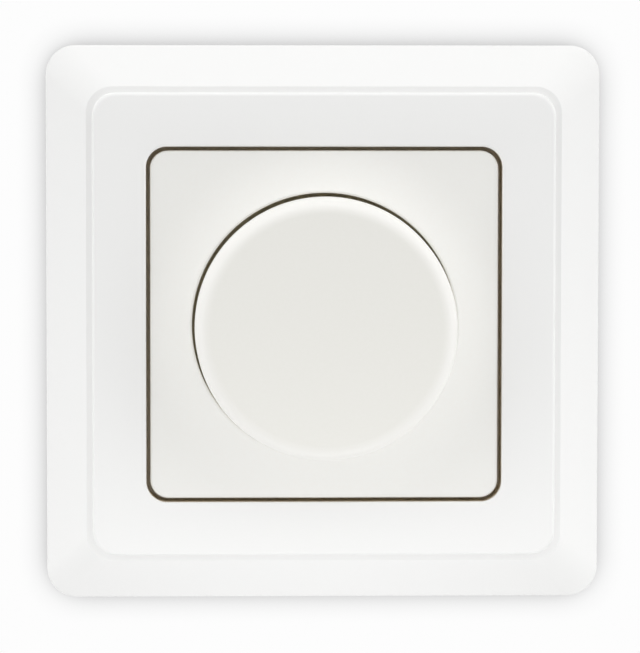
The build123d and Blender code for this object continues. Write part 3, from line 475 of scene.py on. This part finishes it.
knob_section = rounded_section([
    (0.0, 21.50, 0, 0),
    (18.48, 21.50, 0, 2.05),
    (18.58, 14.60, 0, 0.25),
    (18.11, 14.13, 0, 0.2),
    (18.11, 7.60, 0, 0.2),
    (16.51, 7.60, 0, 0.2),
    (16.51, 19.50, 0, 0.6),
    (4.50, 19.50, 0, 0.5),
    (4.50, 10.00, 0, 0.2),
    (2.05, 10.00, 0, 0.2),
    (2.05, 18.45, 0, 0.05),
    (0.0, 18.45, 0, 0),
], steps=12)
rings = turned_rings(knob_section)
knob_parts = [(rings, grid_faces(*rings.shape[:2], closed_rows=False))]
knob_rib, knob_rib_thickness, knob_ribs = [(4.4, 15.5), (16.6, 15.5), (16.6, 19.6), (4.4, 19.6)], 1.2, 6
for number in range(knob_ribs):
    knob_parts.append(rib(knob_rib, knob_rib_thickness, number * 2 * math.pi / knob_ribs))
knob = make_piece("knob_cap", knob_parts, "turning_knob")
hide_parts("knob")


# %% [markdown]
# Behind the wall two long screws pull the claws outwards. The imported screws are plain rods, so
# each shank is replaced by a threaded one. The heads and their slots are already right: they
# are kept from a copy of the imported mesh, and the holes that the rods leave are filled. A
# thread is a cylinder whose radius rises and falls once each pitch, with the rise moved on as
# the angle grows.

# %% Claw screw threads
def threaded_shank(x, z, low, high, crest, depth, pitch, tip_bevel=0.3, columns=24, rows_per_turn=8):
    """Cylinder about (x, z) from height low to high, with radius crest - depth * (a triangle wave of u).

    u is the height divided by the pitch, minus the angle as a share of a turn. Within one
    pitch of the low end the thread fades out and the radius shrinks by the tip's bevel.
    """
    heights = np.arange(low, high, pitch / rows_per_turn)
    angle = np.linspace(0, 2 * math.pi, columns, endpoint=False)
    phase = heights[:, None] / pitch - angle / (2 * math.pi)
    wave = np.abs(2 * (phase - np.floor(phase)) - 1)
    run_out = np.clip((heights - low) / pitch, 0, 1)[:, None]
    radius = crest - depth * (1 - wave * run_out) - tip_bevel * (1 - run_out)
    heights = np.concatenate([[low], heights, [high]])
    radius = np.concatenate([0 * radius[:1], radius, 0 * radius[:1]])
    rings = np.stack([x + radius * np.cos(angle), -heights[:, None] + 0 * radius,
                      z + radius * np.sin(angle)], -1)
    return rings, grid_faces(*rings.shape[:2], closed_rows=False)


def part_of_node(name, keep):
    """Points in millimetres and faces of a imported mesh, merged, where every point of a face passes keep."""
    surface = bmesh.new()
    surface.from_mesh(nodes[name].data)
    bmesh.ops.remove_doubles(surface, verts=surface.verts, dist=1e-6)
    points = np.array([vert.co for vert in surface.verts]) / MM
    kept = keep(points)
    faces = [[vert.index for vert in face.verts] for face in surface.faces]
    faces = [face for face in faces if kept[face].all()]
    surface.free()
    used = sorted({index for face in faces for index in face})
    place = {index: number for number, index in enumerate(used)}
    return points[used], [[place[index] for index in face] for face in faces]


screw_x, screw_z, head_bottom = 25.9, 6.5, 1.45
claw_thread = dict(low=-14.5, high=1.8, crest=1.5, depth=0.28, pitch=0.5)
shank_parts = [threaded_shank(side * screw_x, side * screw_z, **claw_thread) for side in (1, -1)]
claw_threads = make_piece("claw_screw_threads", shank_parts, "insert", smooth_angle=30)
head_points, head_faces = part_of_node("claw_screws", lambda points: points[:, 1] < -head_bottom)
head_mesh = bpy.data.meshes.new("claw_screw_heads")
head_mesh.from_pydata((head_points * MM).tolist(), [], head_faces)
surface = bmesh.new()
surface.from_mesh(head_mesh)
bmesh.ops.holes_fill(surface, edges=[edge for edge in surface.edges if edge.is_boundary])
bmesh.ops.recalc_face_normals(surface, faces=surface.faces)
print("claw screw heads volume mm3", round(surface.calc_volume() / MM**3, 2))
surface.to_mesh(head_mesh)
surface.free()
head_mesh.shade_smooth()
head_mesh.set_sharp_from_angle(angle=math.radians(30))
claw_heads = bpy.data.objects.new("claw_screw_heads", head_mesh)
bpy.context.scene.collection.objects.link(claw_heads)
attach(claw_heads, "insert")
print("claw screw heads", len(head_mesh.polygons), "faces")
for piece in (claw_threads, claw_heads):
    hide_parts("claw_screws")

# %% [markdown]
# The choke is a ferrite spool with one layer of enamelled copper wire. The wire is a tube
# whose middle line is a helix round the spool, so each turn catches its own light.

# %% Choke winding
winding_x, winding_z, winding_low, winding_high = -11.33, 14.5, -17.05, -8.15
winding_wire, winding_turn_radius, winding_pitch = 0.3, 3.5, 0.62


def helix_tube(x, z, low, high, turn_radius, tube_radius, pitch, steps=28, sides=8):
    """Tube round the helix (R cos t, R sin t, low + pitch * t / 2 pi): each ring lies along the outward
    and the axial direction, and both ends close to a point."""
    turn = np.linspace(0, 2 * math.pi * (high - low) / pitch, int((high - low) / pitch * steps) + 1)
    side = np.linspace(0, 2 * math.pi, sides, endpoint=False)
    swell = np.full(len(turn), tube_radius)
    turn = np.concatenate([turn[:1], turn, turn[-1:]])
    swell = np.concatenate([[0], swell, [0]])
    radius = turn_radius + swell[:, None] * np.cos(side)
    height = low + pitch * turn[:, None] / (2 * math.pi) + swell[:, None] * np.sin(side)
    rings = np.stack([x + radius * np.cos(turn)[:, None], -height, z + radius * np.sin(turn)[:, None]], -1)
    return rings, grid_faces(*rings.shape[:2], closed_rows=False)


winding_tube = helix_tube(winding_x, winding_z, winding_low, winding_high,
                          winding_turn_radius, winding_wire, winding_pitch)
winding = make_piece("choke_winding_turns", [winding_tube], "insert", smooth_angle=60)
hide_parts("choke_winding")

# %% [markdown]
# The switch's return spring is the same helix with wider turns: round steel wire where the
# packed one has six sides. When the knob is pressed by 1.5 mm, the 7 mm spring shortens
# towards the back of the switch case, as a squash along its axis would show; here the coil
# only gets a mesh of its own, and no squash is made.

# %% Return spring
spring_low, spring_high, spring_press = -17.5, -10.5, 1.5
spring_wire, spring_turn_radius, spring_turns = 0.225, 2.05, 5
spring_pitch = (spring_high - spring_low - 2 * spring_wire) / spring_turns
coil = helix_tube(0.0, 0.0, spring_low + spring_wire, spring_high - spring_wire,
                  spring_turn_radius, spring_wire, spring_pitch, steps=40, sides=12)
spring = make_piece("return_spring_coil", [coil], "insert", smooth_angle=60)
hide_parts("return_spring")
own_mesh(spring)

# %% [markdown]
# Every material starts the same way: an empty tree and the object coordinates in metres. A
# pattern's scale is a thousand divided by its real size in millimetres. Every solid keeps
# its place in its mesh, so these coordinates are also the places on the whole dimmer.

# %% Material helpers
def start_material(name):
    """An empty material: returns it, its node tree and the object coordinates, in metres."""
    material = bpy.data.materials.new(name)
    material.use_nodes = True
    tree = material.node_tree
    tree.nodes.clear()
    place = add_node(tree, "ShaderNodeTexCoord").outputs["Object"]
    return material, tree, place


def dress(material, *pieces):
    """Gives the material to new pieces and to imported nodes, which are named by text."""
    for piece in pieces:
        data = nodes[piece].data if isinstance(piece, str) else piece.data
        data.materials.clear()
        data.materials.append(material)


# %% [markdown]
# The three visible mouldings are glossy thermoplastic, coloured through with white pigment:
# the frame is a neutral white, the plate and knob a shade creamier. A polished mould leaves
# a soft orange peel of about a millimetre, the pigment shows as half-millimetre specks that
# are hardly darker, and the gloss varies with them. Down in the gaps light bounces many times
# between cream walls and each bounce makes it warmer, so the hidden walls are given a darker,
# warm painted shade.

# %% White mouldings
def white_moulding(name, colour, speck_colour, roughness, gap_shade_colour=None, gaps=(), highlight_edge_colour=None,
                   highlight_edge_reach=0.0, highlight_edge_blend=1.2):
    """Glossy ABS. Each gap is (shape, reach, height) in millimetres: a darker, warm painted shade fills in
    around that height and below it, where max(|x|, |z|), for a square, or sqrt(x^2 + z^2), for a circle,
    is under the reach. The paler painted highlight of an edge blends in over the edge blend width outside
    the edge reach, measured as for a circle."""
    material, tree, place = start_material(name)
    parts = add_node(tree, "ShaderNodeSeparateXYZ", _0=place)
    across = add_node(tree, "ShaderNodeMath", {"operation": "ABSOLUTE"}, _0=parts.outputs["X"])
    upwards = add_node(tree, "ShaderNodeMath", {"operation": "ABSOLUTE"}, _0=parts.outputs["Z"])
    square = add_node(tree, "ShaderNodeMath", {"operation": "MAXIMUM"}, _0=across.outputs[0],
                      _1=upwards.outputs[0])
    flat = add_node(tree, "ShaderNodeVectorMath", {"operation": "MULTIPLY"}, _0=place, _1=(1, 0, 1))
    circle = add_node(tree, "ShaderNodeVectorMath", {"operation": "LENGTH"}, _0=flat.outputs[0])
    distance = {"square": square.outputs[0], "circle": circle.outputs["Value"]}
    specks = add_node(tree, "ShaderNodeTexNoise", Vector=place, Scale=1000 / 0.5, Detail=1.0)
    tone = add_node(tree, "ShaderNodeMix", {"data_type": "RGBA"}, _0=specks.outputs["Fac"],
                    _6=linear(colour), _7=linear(speck_colour))
    # Painted highlight: a paler colour blends in on the knob's round edge, outside the given reach.
    if highlight_edge_colour:
        wear_and_highlight = add_node(tree, "ShaderNodeMapRange", _0=circle.outputs["Value"], _1=highlight_edge_reach * MM,
                          _2=(highlight_edge_reach + highlight_edge_blend) * MM)
        tone = add_node(tree, "ShaderNodeMix", {"data_type": "RGBA"}, _0=wear_and_highlight.outputs[0],
                        _6=tone.outputs[2], _7=linear(highlight_edge_colour))
    # Painted warm shade: each gap's colour is mixed in on the hidden walls inside its reach and below its
    # height.
    for shape, reach, height in gaps:
        within = add_node(tree, "ShaderNodeMath", {"operation": "LESS_THAN"}, _0=distance[shape],
                          _1=reach * MM)
        deep = add_node(tree, "ShaderNodeMapRange", _0=parts.outputs["Y"], _1=-(height + 0.3) * MM,
                        _2=-(height - 0.6) * MM)
        in_painted_gap_shade = add_node(tree, "ShaderNodeMath", {"operation": "MULTIPLY"}, _0=within.outputs[0],
                          _1=deep.outputs[0])
        tone = add_node(tree, "ShaderNodeMix", {"data_type": "RGBA"}, _0=in_painted_gap_shade.outputs[0],
                        _6=tone.outputs[2], _7=linear(gap_shade_colour))
    gloss = add_node(tree, "ShaderNodeMapRange", _0=specks.outputs["Fac"], _1=0.3, _2=0.7,
                     _3=roughness - 0.005, _4=roughness + 0.005)
    peel = add_node(tree, "ShaderNodeTexNoise", Vector=place, Scale=1000 / 1.1, Detail=1.0)
    bump = add_node(tree, "ShaderNodeBump", Strength=1.0, Distance=0.001 * MM, Height=peel.outputs["Fac"])
    surface = add_node(tree, "ShaderNodeBsdfPrincipled", Base_Color=tone.outputs[2],
                       Roughness=gloss.outputs[0], IOR=1.54, Normal=bump.outputs[0])
    add_node(tree, "ShaderNodeOutputMaterial", Surface=surface.outputs[0])
    return material


# ABS has an IOR of 1.54, which gives its faces a soft gloss and its rounded edges a bright line.
# In the next calls the fifth colour is the painted warm shade of the gaps.
dress(white_moulding("neutral_white_abs", "#F7F7F6", "#F6F6F5", 0.28, "#EFE2CC", [("square", 25.6, 9.0)]),
      cover_frame)
plate_shade_gaps = [("circle", 40.0, 8.4), ("circle", 18.98, 9.9)]
dress(white_moulding("cream_white_abs", "#F4F4F1", "#F3F2EE", 0.32, "#E6DBBC", plate_shade_gaps), centre_plate)
# In the soft light the knob's round edge looks a shade paler than its crown, so a paler colour
# is painted on it as a painted highlight.
knob_abs = white_moulding("cream_knob_abs", "#EFEEE9", "#EDECE6", 0.28, "#E3D8B0", [("circle", 40.0, 10.1)],
                          highlight_edge_colour="#F6F5F1", highlight_edge_reach=16.4)
dress(knob_abs, knob)
dress(white_moulding("white_acetal", "#ECEBE4", "#E8E7DF", 0.38), "switch_plunger", "trimmer_rotor")

# %% [markdown]
# The insert is moulded in glass-filled nylon from a spark-eroded mould, so it is matt with
# a fine even grain, and its corners and faces are rubbed a little paler from handling. The
# small black parts are smoother phenolic, which resists heat.

# %% Insert plastics
def insert_moulding(name, colour, rubbed_colour, roughness, grain_mm, grain_depth_mm):
    """Matt moulding: fine grain in bump, darker pits in colour, and pale patches from rubbing, about 9 mm
    wide.
    """
    material, tree, place = start_material(name)
    grain = add_node(tree, "ShaderNodeTexNoise", Vector=place, Scale=1000 / grain_mm, Detail=3.0)
    patch = add_node(tree, "ShaderNodeTexNoise", Vector=place, Scale=1000 / 9, Detail=5.0, Roughness=0.6)
    wear_and_highlight = add_node(tree, "ShaderNodeMapRange", _0=patch.outputs["Fac"], _1=0.5, _2=0.72, _3=0.0, _4=0.6)
    tone = add_node(tree, "ShaderNodeMix", {"data_type": "RGBA"}, _0=wear_and_highlight.outputs[0], _6=linear(colour),
                    _7=linear(rubbed_colour))
    pits = add_node(tree, "ShaderNodeMapRange", _0=grain.outputs["Fac"], _1=0.3, _2=0.7, _3=0.88, _4=1.05)
    tone = add_node(tree, "ShaderNodeVectorMath", {"operation": "SCALE"}, _0=tone.outputs[2],
                    Scale=pits.outputs[0])
    matt = add_node(tree, "ShaderNodeMapRange", _0=wear_and_highlight.outputs[0], _1=0.0, _2=0.6, _3=roughness,
                    _4=roughness - 0.12)
    bump = add_node(tree, "ShaderNodeBump", Strength=1.0, Distance=grain_depth_mm * MM,
                    Height=grain.outputs["Fac"])
    surface = add_node(tree, "ShaderNodeBsdfPrincipled", Base_Color=tone.outputs[0],
                       Roughness=matt.outputs[0], IOR=1.53, Normal=bump.outputs[0])
    add_node(tree, "ShaderNodeOutputMaterial", Surface=surface.outputs[0])
    return material


# The real spark-eroded grain is about 0.1 mm. It is drawn at 0.35 mm so that it shows.
eroded = dict(grain_mm=0.35, grain_depth_mm=0.03)
dress(insert_moulding("grey_glass_filled_nylon", "#8C8F90", "#A3A6A6", 0.62, **eroded), "insert_housing")
dress(insert_moulding("dark_glass_filled_nylon", "#6A6D70", "#7F8284", 0.60, **eroded), "terminal_block")
smooth = dict(grain_mm=0.25, grain_depth_mm=0.012)
phenolic = insert_moulding("black_phenolic", "#1B1B1C", "#2C2C2D", 0.45, **smooth)
dress(phenolic, "wiper_rotor", "switch_case")
dress(insert_moulding("blue_trimmer_nylon", "#1F4F9A", "#3465AC", 0.42, **smooth), "trimmer_body")
# Ferrite is pressed and fired, like a ceramic, which leaves it dark, matt and a little rough.
pressed = dict(grain_mm=0.3, grain_depth_mm=0.04)
dress(insert_moulding("sintered_ferrite", "#2B2B2D", "#3E3E40", 0.70, **pressed), "choke_core")

# %% [markdown]
# The metal parts differ mainly in how their skin was made. Stamped and rolled sheet has long
# fine lines, turned parts have rings round their axis, and plating is clouded. All
# three are noise: lines are noise stretched along one direction, and clouds are noise a few
# millimetres wide between a clean and a dull tone.

# %% Metals
def metal_skin(name, colour, dull_colour, roughness, cloud_mm, line_mm, stretch=(1, 1, 1),
               line_depth_mm=0.003):
    """Metal with clouds and lines. The lines' coordinates are multiplied by stretch: they run long where it
    is small."""
    material, tree, place = start_material(name)
    clouds = add_node(tree, "ShaderNodeTexNoise", Vector=place, Scale=1000 / cloud_mm, Detail=5.0,
                      Roughness=0.6)
    share = add_node(tree, "ShaderNodeMapRange", _0=clouds.outputs["Fac"], _1=0.38, _2=0.66)
    tone = add_node(tree, "ShaderNodeMix", {"data_type": "RGBA"}, _0=share.outputs[0], _6=linear(colour),
                    _7=linear(dull_colour))
    drawn = add_node(tree, "ShaderNodeMapping", Vector=place, Scale=stretch)
    lines = add_node(tree, "ShaderNodeTexNoise", Vector=drawn.outputs[0], Scale=1000 / line_mm, Detail=4.0)
    gloss = add_node(tree, "ShaderNodeMapRange", _0=lines.outputs["Fac"], _1=0.3, _2=0.7,
                     _3=roughness - 0.08, _4=roughness + 0.1)
    bump = add_node(tree, "ShaderNodeBump", Strength=1.0, Distance=line_depth_mm * MM,
                    Height=lines.outputs["Fac"])
    surface = add_node(tree, "ShaderNodeBsdfPrincipled", Base_Color=tone.outputs[2], Metallic=1.0,
                       Roughness=gloss.outputs[0], Normal=bump.outputs[0])
    add_node(tree, "ShaderNodeOutputMaterial", Surface=surface.outputs[0])
    return material


# Zinc with a clear passivation is a slightly blue grey, brighter where it is freshly plated.
zinc = metal_skin("zinc_plated_steel", "#C3C6CA", "#ABAFB4", 0.34, cloud_mm=2.0, line_mm=0.25)
dress(zinc, "bush_nut", "plate_nut", "pot_case", "housing_screws", "terminal_cages", "terminal_screws",
      "claw_right", "claw_left", claw_threads, claw_heads)
# Rolled aluminium is bright, with lines along the rolling direction.
aluminium = metal_skin("rolled_aluminium", "#C9CCCE", "#BEC1C4", 0.36, cloud_mm=6.0, line_mm=0.3,
                       stretch=(0.02, 1, 1))
dress(aluminium, "support_plate")
# Turned steel keeps the fine rings of the tool, and oil keeps it a shade darker than plating.
turned_steel = metal_skin("turned_steel", "#A9ABAE", "#8E9094", 0.26, cloud_mm=6.0, line_mm=0.15,
                          stretch=(0.02, 1, 0.02))
dress(turned_steel, "spindle", "triac_rivet")
# Spring steel is blued by its hardening, so it is darker and colder still.
spring_steel = metal_skin("hardened_spring_steel", "#8F9297", "#6C6F76", 0.30, cloud_mm=2.5, line_mm=0.15)
dress(spring_steel, "knob_leaf", "wiper_contact", spring)
# The bush is brass under a thin, slightly yellow nickel. The pins and the fuse's ends are tinned.
nickel = metal_skin("nickel_plated_brass", "#CBC5B4", "#AFA68F", 0.28, cloud_mm=3.0, line_mm=0.2,
                    stretch=(0.05, 1, 0.05))
dress(nickel, "threaded_bush")
tin = metal_skin("tinned_brass", "#C6C4BB", "#9E9B90", 0.40, cloud_mm=1.5, line_mm=0.2)
dress(tin, "pot_pins", "fuse_caps", "fuse_clips")
brass = metal_skin("stamped_brass", "#C79C48", "#A07A33", 0.32, cloud_mm=2.0, line_mm=0.2,
                   stretch=(0.05, 1, 1))
dress(brass, "contact_bridge", "fixed_contacts")
# Enamelled wire is copper under a clear brown varnish: the tone changes from turn to turn.
copper = metal_skin("enamelled_copper", "#B2622F", "#8A441F", 0.26, cloud_mm=1.2, line_mm=0.6,
                    stretch=(0.05, 1, 0.05), line_depth_mm=0.01)
dress(copper, winding)

# %% [markdown]
# The electronic parts are bodies of lacquer, epoxy or plastic on tinned leads. One function
# covers them: along one axis, everything beyond the body's ends is lead, and the body may
# carry colour bands, which are steps of a ramp along the same axis.

# %% Components with leads
def leaded_component(name, colour, speck_colour, roughness, axis, middle, half, bands=()):
    """Body colour with fine specks where |coordinate - middle| < half (mm) on the axis, and tinned wire
    beyond."""
    material, tree, place = start_material(name)
    parts = add_node(tree, "ShaderNodeSeparateXYZ", _0=place)
    along = add_node(tree, "ShaderNodeMapRange", _0=parts.outputs[axis], _1=(middle - half) * MM,
                     _2=(middle + half) * MM)
    away = add_node(tree, "ShaderNodeMath", {"operation": "SUBTRACT"}, _0=parts.outputs[axis],
                    _1=middle * MM)
    away = add_node(tree, "ShaderNodeMath", {"operation": "ABSOLUTE"}, _0=away.outputs[0])
    is_lead = add_node(tree, "ShaderNodeMath", {"operation": "GREATER_THAN"}, _0=away.outputs[0],
                       _1=half * MM)
    specks = add_node(tree, "ShaderNodeTexNoise", Vector=place, Scale=1000 / 0.4, Detail=4.0)
    tone = add_node(tree, "ShaderNodeMix", {"data_type": "RGBA"}, _0=specks.outputs["Fac"],
                    _6=linear(colour), _7=linear(speck_colour))
    for start, end, band_colour in bands:
        after = add_node(tree, "ShaderNodeMath", {"operation": "GREATER_THAN"}, _0=along.outputs[0],
                         _1=start)
        before = add_node(tree, "ShaderNodeMath", {"operation": "LESS_THAN"}, _0=along.outputs[0], _1=end)
        inside = add_node(tree, "ShaderNodeMath", {"operation": "MULTIPLY"}, _0=after.outputs[0],
                          _1=before.outputs[0])
        tone = add_node(tree, "ShaderNodeMix", {"data_type": "RGBA"}, _0=inside.outputs[0],
                        _6=tone.outputs[2], _7=linear(band_colour))
    tone = add_node(tree, "ShaderNodeMix", {"data_type": "RGBA"}, _0=is_lead.outputs[0], _6=tone.outputs[2],
                    _7=linear("#BDBBB2"))
    gloss = add_node(tree, "ShaderNodeMapRange", _0=specks.outputs["Fac"], _1=0.3, _2=0.7,
                     _3=roughness - 0.05, _4=roughness + 0.07)
    bump = add_node(tree, "ShaderNodeBump", Strength=1.0, Distance=0.008 * MM, Height=specks.outputs["Fac"])
    surface = add_node(tree, "ShaderNodeBsdfPrincipled", Base_Color=tone.outputs[2],
                       Metallic=is_lead.outputs[0], Roughness=gloss.outputs[0], Normal=bump.outputs[0])
    add_node(tree, "ShaderNodeOutputMaterial", Surface=surface.outputs[0])
    return material


resistor_bands = [(0.14, 0.22, "#5A2F16"), (0.31, 0.39, "#151515"),
                  (0.48, 0.56, "#C85A1E"), (0.78, 0.86, "#A98632")]
resistor = leaded_component("lacquered_resistor", "#C9B48A", "#BBA67C", 0.35,
                            axis="X", middle=8.6, half=3.0, bands=resistor_bands)
dress(resistor, "resistors")
diac_bands = [(0.44, 0.56, "#1A1A1A")]
diac = leaded_component("orange_glass_diac", "#B5542A", "#A2481F", 0.15,
                        axis="X", middle=-0.8, half=2.0, bands=diac_bands)
dress(diac, "diac")
# Both film capacitors stand on short leads, below a height of -18.3 mm.
film_capacitor = leaded_component("yellow_film_capacitor", "#D8A922", "#CB9D1C", 0.38,
                                  axis="Y", middle=9.2, half=9.1)
dress(film_capacitor, "mains_capacitor", "timing_capacitor")
# The triac is black epoxy lying under the plate. Its legs start 3.1 mm behind the wall.
triac = leaded_component("black_epoxy_triac", "#161617", "#232324", 0.50, axis="Y", middle=0.0, half=3.1)
dress(triac, "triac")

# %% [markdown]
# The sheet materials are the brown phenolic track disc with its carbon ring, the green board
# with copper areas under its solder mask, the woven silicone pad, and the fuse's glass.

# %% Sheet materials and glass
def printed_sheet(name, colours, size_mm, gap_mm, roughness, depth_mm):
    """A sheet seen square on: a brick pattern on (x, z) with joints gap_mm wide, under a fine cloud."""
    material, tree, place = start_material(name)
    parts = add_node(tree, "ShaderNodeSeparateXYZ", _0=place)
    flat = add_node(tree, "ShaderNodeCombineXYZ", _0=parts.outputs["X"], _1=parts.outputs["Z"])
    bricks = add_node(tree, "ShaderNodeTexBrick", Vector=flat.outputs[0], Color1=linear(colours[0]),
                      Color2=linear(colours[1]), Mortar=linear(colours[2]), Scale=1000.0,
                      Mortar_Size=gap_mm, Brick_Width=size_mm[0], Row_Height=size_mm[1])
    fleck = add_node(tree, "ShaderNodeTexNoise", Vector=place, Scale=1000 / 0.8, Detail=5.0)
    light = add_node(tree, "ShaderNodeMapRange", _0=fleck.outputs["Fac"], _1=0.3, _2=0.7, _3=0.9, _4=1.08)
    tone = add_node(tree, "ShaderNodeVectorMath", {"operation": "SCALE"}, _0=bricks.outputs["Color"],
                    Scale=light.outputs[0])
    bump = add_node(tree, "ShaderNodeBump", {"invert": True}, Strength=1.0, Distance=depth_mm * MM,
                    Height=bricks.outputs["Fac"])
    surface = add_node(tree, "ShaderNodeBsdfPrincipled", Base_Color=tone.outputs[0], Roughness=roughness,
                       Normal=bump.outputs[0])
    add_node(tree, "ShaderNodeOutputMaterial", Surface=surface.outputs[0])
    return material


sheets = [
    ("circuit_board", "green_solder_mask_board", ("#2F7A48", "#276B3E", "#184A2B"),
     dict(size_mm=(5.2, 2.6), gap_mm=0.3, roughness=0.3, depth_mm=0.03)),
    ("track_disc", "brown_phenolic_laminate", ("#7A4F2A", "#6F4725", "#5F3C1F"),
     dict(size_mm=(1.2, 0.5), gap_mm=0.05, roughness=0.45, depth_mm=0.004)),
    ("triac_pad", "woven_silicone_pad", ("#A9A8A2", "#9C9B95", "#86857F"),
     dict(size_mm=(0.5, 0.5), gap_mm=0.08, roughness=0.65, depth_mm=0.02)),
    ("carbon_track", "printed_carbon_track", ("#1A1A1B", "#151516", "#101011"),
     dict(size_mm=(0.3, 0.3), gap_mm=0.04, roughness=0.5, depth_mm=0.004)),
]
for node_name, material_name, colours, sizes in sheets:
    dress(printed_sheet(material_name, colours, **sizes), node_name)

fuse_glass, tree, place = start_material("clear_fuse_glass")
drawn = add_node(tree, "ShaderNodeMapping", Vector=place, Scale=(1, 1, 0.1))
streaks = add_node(tree, "ShaderNodeTexNoise", Vector=drawn.outputs[0], Scale=1000 / 0.8, Detail=2.0)
bump = add_node(tree, "ShaderNodeBump", Strength=1.0, Distance=0.003 * MM, Height=streaks.outputs["Fac"])
surface = add_node(tree, "ShaderNodeBsdfPrincipled", Base_Color=linear("#EEF4F2"), Roughness=0.03, IOR=1.5,
                   Transmission_Weight=1.0, Normal=bump.outputs[0])
add_node(tree, "ShaderNodeOutputMaterial", Surface=surface.outputs[0])
dress(fuse_glass, "fuse_tube")

undressed = [name for name, node in nodes.items()
             if not node.data.materials or not node.data.materials[0].use_nodes]
print("materials", len(bpy.data.materials), "nodes without one of these", undressed)
